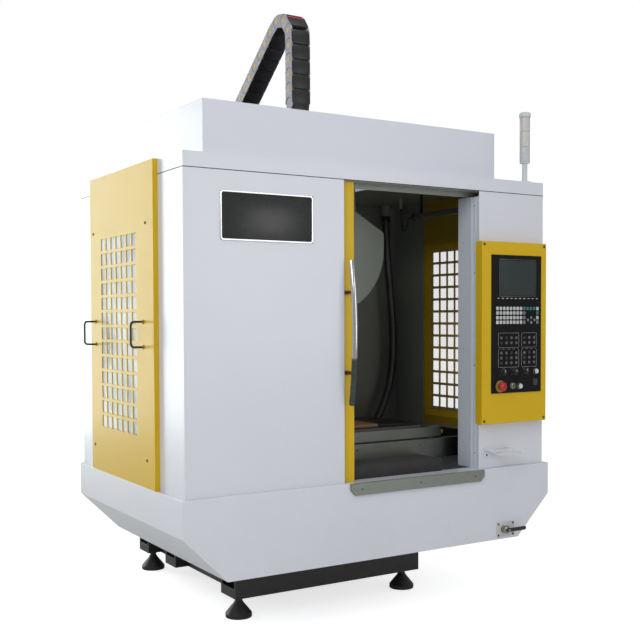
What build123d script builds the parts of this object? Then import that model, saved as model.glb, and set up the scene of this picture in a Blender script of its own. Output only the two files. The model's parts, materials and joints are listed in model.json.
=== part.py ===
from build123d import *
import os
from math import cos, hypot, pi, radians, sin, tan

os.makedirs("parts", exist_ok=True)

# All sizes are in millimetres. x runs to the right, y to the back and z up from the floor.
# The origin lies on the floor under the middle of the machine.

# Cabin
cabin_width = 1700.0
cabin_depth = 1100.0
wall_bottom_z = 595.0
wall_top_z = 1760.0
roof_top_z = 1816.0
sheet = 3.0
side_x = cabin_width / 2

# Depths behind and in front of the cabin
holder_reach = 100.0
column_gap = 10.0
column_depth = 320.0
cabinet_depth = 350.0
cabinet_door_depth = 20.0
switch_reach = 30.0
column_reach = cabin_depth + column_gap + column_depth
rear_reach = column_reach + cabinet_depth + cabinet_door_depth + switch_reach
front_y = (holder_reach - rear_reach) / 2
back_y = front_y + cabin_depth
column_front_y = back_y + column_gap
column_back_y = column_front_y + column_depth
cabinet_back_y = column_back_y + cabinet_depth

# Working space: the spindle's axis, and the table parked forward of it
spindle_y = front_y + 600.0
table_parked = 175.0
table_y = spindle_y - table_parked
nose_z = 1220.0

# Fits
running_gap = 0.3
slide_gap = 0.5


def block(x_span, y_span, z_span, mode=Mode.ADD):
    """Add or cut a straight-sided block between three pairs of limits."""
    centre = [(span[0] + span[1]) / 2 for span in (x_span, y_span, z_span)]
    length, width, height = [abs(span[1] - span[0]) for span in (x_span, y_span, z_span)]
    with Locations(tuple(centre)):
        Box(length, width, height, mode=mode)


def round_bar(start, direction, radius, length, mode=Mode.ADD):
    """Add or cut a round bar that starts at a point and runs along a direction."""
    with BuildSketch(Plane(origin=start, z_dir=direction)) as section:
        Circle(radius)
    extrude(section.sketch, amount=length, mode=mode)


# Levelling feet: four cast bells on studs, each with a lock nut on top of its lug
foot_x = 416.0
foot_front_y = front_y + 450.0
foot_back_y = front_y + 1380.0
bed_bottom_z = 90.0
lug_height = 110.0
lug_floor = 40.0
pad_radius = 55.0
pad_rim = 18.0
pad_neck_radius = 15.0
pad_height = 68.0
stud_radius = 12.0
nut_across = 36.0
nut_height = 18.0
foot_places = [(x, y) for x in (-foot_x, foot_x) for y in (foot_front_y, foot_back_y)]

with BuildPart() as leveling_feet:
    stud_top_z = bed_bottom_z + lug_floor + nut_height + stud_radius
    for foot_place in foot_places:
        foot_origin = (foot_place[0], foot_place[1], 0)
        with BuildSketch(Plane(origin=foot_origin, x_dir=(1, 0, 0), z_dir=(0, -1, 0))):
            with BuildLine():
                Polyline(
                    (0, 0),
                    (pad_radius, 0),
                    (pad_radius, pad_rim),
                    (pad_neck_radius, pad_height),
                    (pad_neck_radius, bed_bottom_z),
                    (stud_radius, bed_bottom_z),
                    (stud_radius, stud_top_z),
                    (0, stud_top_z),
                    close=True,
                )
            make_face()
        revolve(axis=Axis(foot_origin, (0, 0, 1)))
    with BuildSketch(Plane.XY.offset(bed_bottom_z + lug_floor)):
        with Locations(*foot_places):
            RegularPolygon(nut_across / 2, 6, major_radius=False)
    extrude(amount=nut_height)
leveling_feet.part.label = "leveling_feet"
export_step(leveling_feet.part, "parts/leveling_feet.step")

# Base tray: a folded coolant trough with chamfered flanks, flanged inwards at the top
tray_ledge = 19.0
tray_sheet = 4.0
tray_side_z = 460.0
tray_bottom_z = 288.0
tray_chamfer = 175.0
tray_flange = 60.0
tray_back_flange = 40.0
tray_side_x = side_x + tray_ledge
tray_front_y = front_y - tray_ledge
tray_back_y = back_y - 4.0
bed_gap = 5.0
bed_body_width = 800.0
bed_bar_edge = 47.0
bed_bar_width = 2 * (foot_x + bed_bar_edge)
bed_front_y = front_y + 383.0
bed_back_y = column_back_y
column_seat_z = 560.0
bed_half = bed_body_width / 2
bed_hole = bed_half + bed_gap


def tray_outline(wall):
    """Front view of the tray's hull, drawn inside the outer one by the wall."""
    with BuildLine() as outline:
        Polyline(
            (-tray_side_x, wall_bottom_z),
            (-tray_side_x, tray_side_z),
            (-tray_side_x + tray_chamfer, tray_bottom_z),
            (tray_side_x - tray_chamfer, tray_bottom_z),
            (tray_side_x, tray_side_z),
            (tray_side_x, wall_bottom_z),
            close=True,
        )
    make_face(outline.edges())
    if wall > 0:
        offset(amount=-wall, kind=Kind.INTERSECTION, mode=Mode.REPLACE)


with BuildPart() as base_tray:
    with BuildSketch(Plane.XZ.offset(-tray_back_y)):
        tray_outline(0)
    extrude(amount=tray_back_y - tray_front_y)
    with BuildSketch(Plane.XZ.offset(-tray_back_y + tray_sheet)):
        tray_outline(tray_sheet)
    extrude(amount=tray_back_y - tray_front_y - 2 * tray_sheet, mode=Mode.SUBTRACT)
    mouth_x = side_x - tray_flange
    mouth_y = (front_y + tray_flange, back_y - tray_back_flange)
    block((-mouth_x, mouth_x), mouth_y, (tray_side_z, wall_bottom_z), Mode.SUBTRACT)
    hole_z = (tray_bottom_z, tray_bottom_z + tray_sheet)
    block((-bed_hole, bed_hole), (bed_front_y - bed_gap, tray_back_y), hole_z, Mode.SUBTRACT)
    rear_hole_z = (tray_bottom_z, column_seat_z + bed_gap)
    block((-bed_hole, bed_hole), (tray_back_y - tray_sheet, tray_back_y), rear_hole_z, Mode.SUBTRACT)
base_tray.part.label = "base_tray"
export_step(base_tray.part, "parts/base_tray.step")

# Bed: a casting with a forward nose for the Y guides, a front bar and rear lugs over the feet
bed_top_z = 520.0
bed_nose_y = front_y + 150.0
bed_nose_bottom_z = 340.0
bed_nose_root_z = 300.0
bed_bar_length = 137.0
lug_length = 120.0
lug_starts = (front_y + 993.0, front_y + 1320.0)
lug_pocket_wall = 14.0
lug_pocket_width = 50.0
column_seat_y = column_front_y - 50.0
y_screw_z = 490.0
screw_radius = 16.0
screw_groove_half = 50.0
screw_groove_floor_z = 440.0
bearing_wall = 40.0
y_rail_x = 250.0
hose_y = front_y + 1035.0
hose_end_z = 475.0
hose_radius = 19.0
gland_radius = 26.0
gland_length = 40.0
side_pocket_depth = 60.0
side_pocket_z = (bed_bottom_z + 60.0, column_seat_z - 120.0)
side_pocket_start = 40.0
side_pocket_length = 130.0
side_pocket_pitch = 170.0

with BuildPart() as bed:
    with BuildSketch(Plane.YZ):
        with BuildLine():
            Polyline(
                (bed_front_y, bed_bottom_z),
                (bed_back_y, bed_bottom_z),
                (bed_back_y, column_seat_z),
                (column_seat_y, column_seat_z),
                (column_seat_y, bed_top_z),
                (bed_nose_y, bed_top_z),
                (bed_nose_y, bed_nose_bottom_z),
                (bed_front_y, bed_nose_root_z),
                close=True,
            )
        make_face()
    extrude(amount=bed_half, both=True)
    bar_half = bed_bar_width / 2
    block((-bar_half, bar_half), (bed_front_y, bed_front_y + bed_bar_length), (bed_bottom_z, tray_bottom_z))
    for lug_y in lug_starts:
        block((-bar_half, bar_half), (lug_y, lug_y + lug_length), (bed_bottom_z, bed_bottom_z + lug_height))
    # pockets open to the side and the top, where the lock nuts sit on the lug's floor
    pocket_starts = [(bed_front_y, bed_bar_length, tray_bottom_z - lug_pocket_wall)]
    pocket_starts += [(lug_y, lug_length, bed_bottom_z + lug_height) for lug_y in lug_starts]
    for side in (-1, 1):
        outer_x = side * bar_half
        inner_x = side * (foot_x - nut_across)
        for pocket_y, pocket_length, pocket_top_z in pocket_starts:
            y_span = (pocket_y + lug_pocket_wall, pocket_y + pocket_length - lug_pocket_wall)
            block((outer_x, inner_x), y_span, (bed_bottom_z + lug_floor, pocket_top_z), Mode.SUBTRACT)
    with Locations(*[(x, y, bed_bottom_z) for x, y in foot_places]):
        Hole(stud_radius)
    # the screw's trough, with a bearing wall at each end
    trough_y = (bed_nose_y + bearing_wall, column_seat_y)
    trough_x = (-screw_groove_half, screw_groove_half)
    block(trough_x, trough_y, (screw_groove_floor_z, bed_top_z), Mode.SUBTRACT)
    bore = screw_radius + running_gap
    round_bar((0, bed_nose_y, y_screw_z), (0, 1, 0), bore, bearing_wall, Mode.SUBTRACT)
    # cast pockets along both flanks, between the lugs
    pocket_count = 3
    for side in (-1, 1):
        for index in range(pocket_count):
            start_y = bed_front_y + bed_bar_length + side_pocket_start + index * side_pocket_pitch
            x_span = (side * bed_half, side * (bed_half - side_pocket_depth))
            block(x_span, (start_y, start_y + side_pocket_length), side_pocket_z, Mode.SUBTRACT)
    round_bar((bed_half, hose_y, hose_end_z), (1, 0, 0), gland_radius, gland_length)
bed.part.label = "bed"
export_step(bed.part, "parts/bed.step")

# Column: a tapered box casting with rib windows, two bearing brackets and the chain's seat on top
column_half = 260.0
column_top_half = 230.0
column_top_z = 2000.0
column_wall = 30.0
column_window_width = 260.0
column_window_height = 300.0
z_screw_y = column_front_y - 35.0
z_bearing_z = 1000.0
z_bearing_height = 30.0
z_bearing_half = 50.0
bracket_front_y = column_front_y - 58.0
motor_flange = 110.0
motor_plate = 20.0
z_motor_z = column_top_z + 10.0
z_rail_bottom_z = 1000.0
z_rail_top_z = 1980.0
z_rail_x = 130.0

with BuildPart() as column:
    with BuildSketch(Plane.XZ.offset(-column_back_y)):
        with BuildLine():
            Polyline(
                (-column_half, column_seat_z),
                (column_half, column_seat_z),
                (column_top_half, column_top_z),
                (-column_top_half, column_top_z),
                close=True,
            )
        make_face()
    extrude(amount=column_depth)
    # the hollow between the walls, open through two windows at the back
    hollow_half = column_top_half - column_wall
    hollow_y = (column_front_y + column_wall, column_back_y - column_wall)
    hollow_z = (column_seat_z + column_wall, column_top_z - column_wall)
    block((-hollow_half, hollow_half), hollow_y, hollow_z, Mode.SUBTRACT)
    window_half = column_window_width / 2
    for window_z in (column_seat_z + 150.0, column_seat_z + 650.0):
        x_span = (-window_half, window_half)
        y_span = (column_back_y - column_wall, column_back_y)
        block(x_span, y_span, (window_z, window_z + column_window_height), Mode.SUBTRACT)
    bearing_z = (z_bearing_z, z_bearing_z + z_bearing_height)
    block((-z_bearing_half, z_bearing_half), (bracket_front_y, column_front_y), bearing_z)
    plate_half = motor_flange / 2
    plate_y = (z_screw_y - plate_half, z_screw_y + plate_half)
    plate_z = (z_motor_z - motor_plate, z_motor_z)
    block((-plate_half, plate_half), plate_y, plate_z)
    for bore_z, bore_depth in ((z_bearing_z, z_bearing_height), (z_motor_z - motor_plate, motor_plate)):
        round_bar((0, z_screw_y, bore_z), (0, 0, 1), bore, bore_depth, Mode.SUBTRACT)
column.part.label = "column"
export_step(column.part, "parts/column.step")

# Guide rails: ground profile rails with a waist, two along Y on the bed and two up the column
rail_width = 28.0
rail_height = 30.0
rail_waist = 4.0
y_rail_front = front_y + 170.0
y_rail_length = 880.0


def rail_outline():
    """Section of a profile rail that stands on its local x axis, with a waist on both flanks."""
    half = rail_width / 2
    waist = half - rail_waist
    right = [
        (half, 0),
        (half, rail_height * 0.3),
        (waist, rail_height * 0.45),
        (waist, rail_height * 0.65),
        (half, rail_height * 0.8),
        (half, rail_height),
    ]
    left = [(-x, z) for x, z in reversed(right)]
    with BuildLine() as outline:
        Polyline(*right, *left, close=True)
    make_face(outline.edges())


with BuildPart() as guide_rails:
    for rail_x in (-y_rail_x, y_rail_x):
        foot = Plane(origin=(rail_x, y_rail_front + y_rail_length, bed_top_z), x_dir=(1, 0, 0), z_dir=(0, -1, 0))
        with BuildSketch(foot):
            rail_outline()
        extrude(amount=y_rail_length)
    for rail_x in (-z_rail_x, z_rail_x):
        foot = Plane(origin=(rail_x, column_front_y, z_rail_bottom_z), x_dir=(-1, 0, 0), z_dir=(0, 0, 1))
        with BuildSketch(foot):
            rail_outline()
        extrude(amount=z_rail_top_z - z_rail_bottom_z)
guide_rails.part.label = "guide_rails"
export_step(guide_rails.part, "parts/guide_rails.step")

# Servo motors: flange, finned body and encoder cap, with a connector on one flank
motor_body = 98.0
motor_body_length = 86.0
motor_cap = 84.0
motor_cap_length = 28.0
motor_flange_depth = 14.0
motor_plug = (30.0, 26.0, 24.0)


def servo_motor(plane):
    """A servo motor that stands on the plane, with its shaft side down."""
    with BuildSketch(plane) as flange:
        RectangleRounded(motor_flange, motor_flange, 8.0)
    extrude(flange.sketch, amount=motor_flange_depth)
    with BuildSketch(plane.offset(motor_flange_depth)) as body:
        Rectangle(motor_body, motor_body)
    extrude(body.sketch, amount=motor_body_length)
    with BuildSketch(plane.offset(motor_flange_depth + motor_body_length)) as cap:
        RectangleRounded(motor_cap, motor_cap, 10.0)
    extrude(cap.sketch, amount=motor_cap_length)
    plug_width, plug_depth, plug_height = motor_plug
    with BuildSketch(plane.offset(motor_flange_depth + motor_body_length - plug_width)) as plug:
        with Locations((0, -(motor_body + plug_height) / 2)):
            Rectangle(plug_depth, plug_height)
    extrude(plug.sketch, amount=plug_width)


with BuildPart() as axis_motors:
    servo_motor(Plane(origin=(0, bed_nose_y, y_screw_z), x_dir=(-1, 0, 0), z_dir=(0, -1, 0)))
    servo_motor(Plane(origin=(0, z_screw_y, z_motor_z), x_dir=(-1, 0, 0), z_dir=(0, 0, 1)))
axis_motors.part.label = "axis_motors"
export_step(axis_motors.part, "parts/axis_motors.step")

# Ball screws: ground shafts that turn in the bearing walls and in their nuts
y_screw_end = column_seat_y - slide_gap
with BuildPart() as y_screw:
    y_screw_start = bed_nose_y + running_gap
    round_bar((0, y_screw_start, y_screw_z), (0, 1, 0), screw_radius, y_screw_end - y_screw_start)
y_screw.part.label = "y_screw"
export_step(y_screw.part, "parts/y_screw.step")

with BuildPart() as z_screw:
    z_screw_length = z_motor_z - running_gap - z_bearing_z
    round_bar((0, z_screw_y, z_bearing_z), (0, 0, 1), screw_radius, z_screw_length)
z_screw.part.label = "z_screw"
export_step(z_screw.part, "parts/z_screw.step")

# Saddle: rides on the Y guides and carries the X guides, its screw and its motor
saddle_half = 450.0
saddle_depth = 380.0
saddle_bottom_z = 565.0
saddle_top_z = 665.0
carriage_width = 70.0
carriage_length = 100.0
carriage_spacing = 240.0
carriage_gap = 6.0
rail_slot = rail_width + 2 * slide_gap
x_rail_offset = 110.0
x_screw_z = 635.0
x_groove_half = 40.0
x_groove_floor_z = 600.0
nut_half = 34.0
x_wall = 30.0

with BuildPart() as saddle:
    saddle_y = (table_y - saddle_depth / 2, table_y + saddle_depth / 2)
    block((-saddle_half, saddle_half), saddle_y, (saddle_bottom_z, saddle_top_z))
    # lightened corners under the two wings
    wing_x = y_rail_x + carriage_width / 2 + 30.0
    for side in (-1, 1):
        x_span = (side * wing_x, side * saddle_half)
        block(x_span, saddle_y, (saddle_bottom_z, x_groove_floor_z - 10.0), Mode.SUBTRACT)
    x_groove_z = (x_groove_floor_z, saddle_top_z)
    groove_y = (table_y - x_groove_half, table_y + x_groove_half)
    block((-saddle_half + x_wall, saddle_half - x_wall), groove_y, x_groove_z, Mode.SUBTRACT)
    for wall_x in (-saddle_half, saddle_half - x_wall):
        round_bar((wall_x, table_y, x_screw_z), (1, 0, 0), bore, x_wall, Mode.SUBTRACT)
    # four carriages straddle the Y guides
    for rail_x in (-y_rail_x, y_rail_x):
        for carriage_y in (table_y - carriage_spacing / 2, table_y + carriage_spacing / 2):
            x_span = (rail_x - carriage_width / 2, rail_x + carriage_width / 2)
            y_span = (carriage_y - carriage_length / 2, carriage_y + carriage_length / 2)
            block(x_span, y_span, (bed_top_z + carriage_gap, saddle_bottom_z))
        slot_x = (rail_x - rail_slot / 2, rail_x + rail_slot / 2)
        slot_top_z = bed_top_z + rail_height + slide_gap
        block(slot_x, saddle_y, (bed_top_z, slot_top_z), Mode.SUBTRACT)
    # the Y nut's housing hangs into the bed's trough
    nut_z = (y_screw_z - nut_half, saddle_bottom_z)
    block((-nut_half, nut_half), (table_y - nut_half, table_y + nut_half), nut_z)
    nut_start = (0, table_y - nut_half, y_screw_z)
    round_bar(nut_start, (0, 1, 0), bore, 2 * nut_half, Mode.SUBTRACT)
saddle.part.label = "saddle"
export_step(saddle.part, "parts/saddle.step")

with BuildPart() as x_rails:
    for rail_y in (table_y - x_rail_offset, table_y + x_rail_offset):
        foot = Plane(origin=(-saddle_half, rail_y, saddle_top_z), x_dir=(0, 1, 0), z_dir=(1, 0, 0))
        with BuildSketch(foot):
            rail_outline()
        extrude(amount=2 * saddle_half)
x_rails.part.label = "x_rails"
export_step(x_rails.part, "parts/x_rails.step")

with BuildPart() as x_motor:
    servo_motor(Plane(origin=(saddle_half, table_y, x_screw_z), x_dir=(0, -1, 0), z_dir=(1, 0, 0)))
x_motor.part.label = "x_motor"
export_step(x_motor.part, "parts/x_motor.step")

with BuildPart() as x_screw:
    x_screw_length = 2 * saddle_half - running_gap
    round_bar((-saddle_half, table_y, x_screw_z), (1, 0, 0), screw_radius, x_screw_length)
x_screw.part.label = "x_screw"
export_step(x_screw.part, "parts/x_screw.step")

# Saddle apron: stainless guard in front of the saddle, returned along both ends
apron_half = 710.0
apron_front_y = front_y + 187.0
apron_z = (630.0, 712.0)
apron_end_y = saddle_y[1] - 15.0
apron_lip = 14.0
apron_bracket_x = 300.0
apron_bracket_width = 40.0

with BuildPart() as saddle_apron:
    block((-apron_half, apron_half), (apron_front_y, apron_front_y + sheet), apron_z)
    lip_y = (apron_front_y, apron_front_y + apron_lip)
    block((-apron_half, apron_half), lip_y, (apron_z[1] - sheet, apron_z[1]))
    for side in (-1, 1):
        block((side * apron_half, side * (apron_half - sheet)), (apron_front_y, apron_end_y), apron_z)
        centre_x = side * apron_bracket_x
        x_span = (centre_x - apron_bracket_width / 2, centre_x + apron_bracket_width / 2)
        block(x_span, (apron_front_y + sheet, saddle_y[0]), (apron_z[0], apron_z[0] + 2 * sheet))
        rib_y = (saddle_y[0] + 60.0, saddle_y[0] + 60.0 + apron_bracket_width)
        rib_x = (side * saddle_half, side * (apron_half - sheet))
        if side < 0:
            block(rib_x, rib_y, (apron_z[0], apron_z[0] + 2 * sheet))
        else:
            tab_y = (saddle_y[0], saddle_y[0] + apron_bracket_width)
            block(rib_x, tab_y, (apron_z[0], apron_z[0] + 2 * sheet))
saddle_apron.part.label = "saddle_apron"
export_step(saddle_apron.part, "parts/saddle_apron.step")

# Table: three T-slots along X, with carriages and the X nut's housing underneath
table_length = 700.0
table_depth = 420.0
table_top_z = 770.0
table_bottom_z = 710.0
slot_width = 14.0
slot_depth = 26.0
tee_width = 24.0
tee_height = 11.0
slot_pitch = 125.0
table_half = table_length / 2
table_edges = (table_y - table_depth / 2, table_y + table_depth / 2)
x_carriage_spacing = 200.0

with BuildPart() as table:
    block((-table_half, table_half), table_edges, (table_bottom_z, table_top_z))
    with BuildSketch(Plane.YZ.offset(-table_half)):
        for index in (-1, 0, 1):
            slot_y = table_y + index * slot_pitch
            with Locations((slot_y, table_top_z - slot_depth / 2)):
                Rectangle(slot_width, slot_depth)
            with Locations((slot_y, table_top_z - slot_depth + tee_height / 2)):
                Rectangle(tee_width, tee_height)
    extrude(amount=table_length, mode=Mode.SUBTRACT)
    for rail_y in (table_y - x_rail_offset, table_y + x_rail_offset):
        for carriage_x in (-x_carriage_spacing / 2, x_carriage_spacing / 2):
            x_span = (carriage_x - carriage_length / 2, carriage_x + carriage_length / 2)
            y_span = (rail_y - carriage_width / 2, rail_y + carriage_width / 2)
            block(x_span, y_span, (saddle_top_z + carriage_gap, table_bottom_z))
        slot_y = (rail_y - rail_slot / 2, rail_y + rail_slot / 2)
        slot_z = (saddle_top_z, saddle_top_z + rail_height + slide_gap)
        block((-table_half, table_half), slot_y, slot_z, Mode.SUBTRACT)
    x_nut_y = (table_y - nut_half, table_y + nut_half)
    block((-nut_half, nut_half), x_nut_y, (x_screw_z - nut_half + 2.0, table_bottom_z))
    round_bar((-nut_half, table_y, x_screw_z), (1, 0, 0), bore, 2 * nut_half, Mode.SUBTRACT)
table.part.label = "table"
export_step(table.part, "parts/table.step")

# Table guard: stainless apron in front and cover plates at both ends of the table
guard_half = 450.0
guard_front_y = table_edges[0] - 10.0
guard_z = (716.0, 760.0)

with BuildPart() as table_guard:
    block((-guard_half, guard_half), (guard_front_y, guard_front_y + sheet), guard_z)
    top_z = (guard_z[1] - sheet, guard_z[1])
    block((-guard_half, guard_half), (guard_front_y, table_edges[0]), top_z)
    for side in (-1, 1):
        block((side * table_half, side * guard_half), (guard_front_y, table_edges[1]), top_z)
        block((side * (guard_half - sheet), side * guard_half), (guard_front_y, table_edges[1]), guard_z)
table_guard.part.label = "table_guard"
export_step(table_guard.part, "parts/table_guard.step")

# Left and right guards: folded sheets, front panel and side wall in one, with a window opening
door_left_x = -183.0
door_right_x = 488.0
window_y = (front_y + 345.0, front_y + 845.0)
window_z = (740.0, 1600.0)
rear_return = 50.0


def folded_guard(inner_x, outer_x):
    """A front panel from its inner edge to the corner, with the side wall folded to the back."""
    side = 1 if outer_x > inner_x else -1
    inside_x = outer_x - side * sheet
    return_x = outer_x - side * rear_return
    with BuildSketch(Plane.XY.offset(wall_bottom_z)) as plan:
        with BuildLine():
            Polyline(
                (inner_x, front_y),
                (outer_x, front_y),
                (outer_x, back_y),
                (return_x, back_y),
                (return_x, back_y - sheet),
                (inside_x, back_y - sheet),
                (inside_x, front_y + sheet),
                (inner_x, front_y + sheet),
                close=True,
            )
        make_face()
    extrude(plan.sketch, amount=wall_top_z - wall_bottom_z)
    block((inside_x, outer_x), window_y, window_z, Mode.SUBTRACT)


with BuildPart() as left_guard:
    folded_guard(door_left_x, -side_x)
left_guard.part.label = "left_guard"
export_step(left_guard.part, "parts/left_guard.step")

with BuildPart() as right_guard:
    folded_guard(door_right_x, side_x)
right_guard.part.label = "right_guard"
export_step(right_guard.part, "parts/right_guard.step")

# Rear guard: the back sheet, cut out around the Z guides
rear_hole_half = 200.0
rear_hole_z = (980.0, wall_top_z)
with BuildPart() as rear_guard:
    rear_half = side_x - rear_return
    block((-rear_half, rear_half), (back_y - sheet, back_y), (wall_bottom_z, wall_top_z))
    block((-rear_hole_half, rear_hole_half), (back_y - sheet, back_y), rear_hole_z, Mode.SUBTRACT)
rear_guard.part.label = "rear_guard"
export_step(rear_guard.part, "parts/rear_guard.step")

# Roof cap: one pan with a deep skirt, a lintel channel over the door and the cable glands
lintel_depth = 75.0
lintel_flange = 40.0
lintel_lip = 18.0
roof_hole_half = 300.0
roof_hole_front = front_y + 430.0
roof_hole_back = front_y + 1040.0
roof_plate_z = roof_top_z - sheet
hose_top_x = 748.0
hose_top_z = 1757.0
lamp_x = 630.0
lamp_loop_y = front_y + 745.0
lamp_gland_z = 1762.0
lamp_gland_radius = 9.0

with BuildPart() as roof_cap:
    block((-side_x, side_x), (front_y, back_y), (wall_top_z, roof_top_z))
    inside_x = side_x - sheet
    block((-inside_x, inside_x), (front_y + sheet, back_y - sheet), (wall_top_z, roof_plate_z), Mode.SUBTRACT)
    hole_y = (roof_hole_front, roof_hole_back)
    block((-roof_hole_half, roof_hole_half), hole_y, (roof_plate_z, roof_top_z), Mode.SUBTRACT)
    notch_x = (-rear_hole_half, rear_hole_half)
    block(notch_x, (roof_hole_front, back_y), (wall_top_z, roof_top_z), Mode.SUBTRACT)
    # lintel channel: a flange behind the skirt, a soffit over the door and an inner lip
    lintel_x = (-inside_x + slide_gap, inside_x - slide_gap)
    soffit_z = wall_top_z - sheet
    block(lintel_x, (front_y + sheet, front_y + 2 * sheet), (soffit_z, wall_top_z + lintel_flange))
    block(lintel_x, (front_y + sheet, front_y + lintel_depth), (soffit_z, wall_top_z))
    lip_y = (front_y + lintel_depth - sheet, front_y + lintel_depth)
    block(lintel_x, lip_y, (soffit_z - lintel_lip, wall_top_z))
    round_bar((hose_top_x, hose_y, hose_top_z), (0, 0, 1), gland_radius, roof_plate_z - hose_top_z)
    gland_start = (lamp_x, lamp_loop_y, lamp_gland_z)
    round_bar(gland_start, (0, 0, 1), lamp_gland_radius, roof_plate_z - lamp_gland_z)
roof_cap.part.label = "roof_cap"
export_step(roof_cap.part, "parts/roof_cap.step")

# Roof box: the tall guard round the head, open at the top and behind
box_half = 703.0
box_front_y = front_y + 150.0
box_back_y = back_y + 19.0
box_height = 224.0
box_top_z = roof_top_z + box_height
box_hem = 18.0

with BuildPart() as roof_box:
    block((-box_half, box_half), (box_front_y, back_y), (roof_top_z, box_top_z))
    inner_half = box_half - sheet
    inner_y = (box_front_y + sheet, back_y)
    block((-inner_half, inner_half), inner_y, (roof_top_z, box_top_z), Mode.SUBTRACT)
    # hem folded inwards round the top edge
    hem_z = (box_top_z - sheet, box_top_z)
    block((-inner_half, inner_half), (box_front_y + sheet, box_front_y + box_hem), hem_z)
    for side in (-1, 1):
        hem_x = (side * inner_half, side * (box_half - box_hem))
        block(hem_x, (box_front_y + sheet, back_y), hem_z)
        wing_x = (side * column_half, side * box_half)
        block(wing_x, (back_y - sheet, back_y), (roof_top_z, box_top_z))
        block((side * inner_half, side * box_half), (back_y, box_back_y), (roof_top_z, box_top_z))
roof_box.part.label = "roof_box"
export_step(roof_box.part, "parts/roof_box.step")

# Side panels: yellow pans over the window openings, pierced by a grid of square openings
panel_y = (front_y + 225.0, front_y + 925.0)
panel_proud = 20.0
grid_columns = 7
grid_rows = 13
grid_pitch_y = 58.0
grid_pitch_z = 60.5
grid_hole = (45.0, 48.0)
grid_centre_y = front_y + 595.0
grid_centre_z = 1172.0
pane_thickness = 4.0
pane_margin = 12.0


def side_panel(side):
    """A shallow pan that faces sideways, with its grid of openings cut through the face."""
    outer_x = side * (side_x + panel_proud)
    block((side * side_x, outer_x), panel_y, (wall_bottom_z, roof_top_z))
    hollow_x = (side * side_x, side * (side_x + panel_proud - sheet))
    hollow_y = (panel_y[0] + sheet, panel_y[1] - sheet)
    hollow_z = (wall_bottom_z + sheet, roof_top_z - sheet)
    block(hollow_x, hollow_y, hollow_z, Mode.SUBTRACT)
    face = Plane(origin=(outer_x, grid_centre_y, grid_centre_z), x_dir=(0, 1, 0), z_dir=(side, 0, 0))
    with BuildSketch(face) as grid:
        with GridLocations(grid_pitch_y, grid_pitch_z, grid_columns, grid_rows):
            Rectangle(*grid_hole)
    extrude(grid.sketch, amount=-sheet, mode=Mode.SUBTRACT)


with BuildPart() as left_side_panel:
    side_panel(-1)
left_side_panel.part.label = "left_side_panel"
export_step(left_side_panel.part, "parts/left_side_panel.step")

with BuildPart() as right_side_panel:
    side_panel(1)
right_side_panel.part.label = "right_side_panel"
export_step(right_side_panel.part, "parts/right_side_panel.step")

with BuildPart() as side_windows:
    pane_half_y = grid_columns * grid_pitch_y / 2 + pane_margin
    pane_half_z = grid_rows * grid_pitch_z / 2 + pane_margin
    for side in (-1, 1):
        face_x = side_x + panel_proud - sheet
        x_span = (side * (face_x - pane_thickness), side * face_x)
        y_span = (grid_centre_y - pane_half_y, grid_centre_y + pane_half_y)
        block(x_span, y_span, (grid_centre_z - pane_half_z, grid_centre_z + pane_half_z))
side_windows.part.label = "side_windows"
export_step(side_windows.part, "parts/side_windows.step")

# Side handles: bent rods with collars, two on each side panel
side_handle_y = (front_y + 327.0, front_y + 861.0)
side_handle_z = (1125.0, 1220.0)
side_handle_reach = 50.0
side_handle_rod = 4.0
side_handle_bend = 14.0
collar_radius = 8.0
collar_height = 5.0

with BuildPart() as side_handles:
    for side in (-1, 1):
        face_x = side * (side_x + panel_proud)
        grip_x = face_x + side * side_handle_reach
        for handle_y in side_handle_y:
            with BuildLine():
                rod = FilletPolyline(
                    (face_x, handle_y, side_handle_z[0]),
                    (grip_x, handle_y, side_handle_z[0]),
                    (grip_x, handle_y, side_handle_z[1]),
                    (face_x, handle_y, side_handle_z[1]),
                    radius=side_handle_bend,
                )
            with BuildSketch(Plane(origin=rod @ 0, z_dir=rod % 0)):
                Circle(side_handle_rod)
            sweep(path=rod)
            for collar_z in side_handle_z:
                round_bar((face_x, handle_y, collar_z), (side, 0, 0), collar_radius, collar_height)
side_handles.part.label = "side_handles"
export_step(side_handles.part, "parts/side_handles.step")

# Door post: a folded box jamb with two grooves down the face that the door closes against
post_depth = 136.0
post_width = 60.0
groove_depth = 8.0
post_top_z = wall_top_z - sheet

with BuildPart() as door_post:
    with BuildSketch(Plane.XY.offset(wall_bottom_z)):
        with BuildLine():
            Polyline(
                (door_right_x, front_y + sheet),
                (door_right_x, front_y + 10.0),
                (door_right_x + groove_depth, front_y + 13.0),
                (door_right_x + groove_depth, front_y + 24.0),
                (door_right_x, front_y + 27.0),
                (door_right_x, front_y + 33.0),
                (door_right_x + groove_depth, front_y + 36.0),
                (door_right_x + groove_depth, front_y + 46.0),
                (door_right_x, front_y + 50.0),
                (door_right_x, front_y + post_depth),
                (door_right_x + post_width, front_y + post_depth),
                (door_right_x + post_width, front_y + sheet),
                close=True,
            )
        make_face()
    extrude(amount=soffit_z - wall_bottom_z - lintel_lip)
door_post.part.label = "door_post"
export_step(door_post.part, "parts/door_post.step")

# Sill: a folded stainless strip under the doorway, with its lower corners cut off
sill_x = (-170.0, 498.0)
sill_proud = 9.0
sill_bottom_z = 547.0
sill_corner = 20.0

with BuildPart() as sill:
    with BuildSketch(Plane.XZ.offset(-tray_front_y)):
        with BuildLine():
            Polyline(
                (sill_x[0], wall_bottom_z),
                (sill_x[0], sill_bottom_z + sill_corner),
                (sill_x[0] + sill_corner, sill_bottom_z),
                (sill_x[1] - sill_corner, sill_bottom_z),
                (sill_x[1], sill_bottom_z + sill_corner),
                (sill_x[1], wall_bottom_z),
                close=True,
            )
        make_face()
    extrude(amount=sill_proud)
sill.part.label = "sill"
export_step(sill.part, "parts/sill.step")

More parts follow.
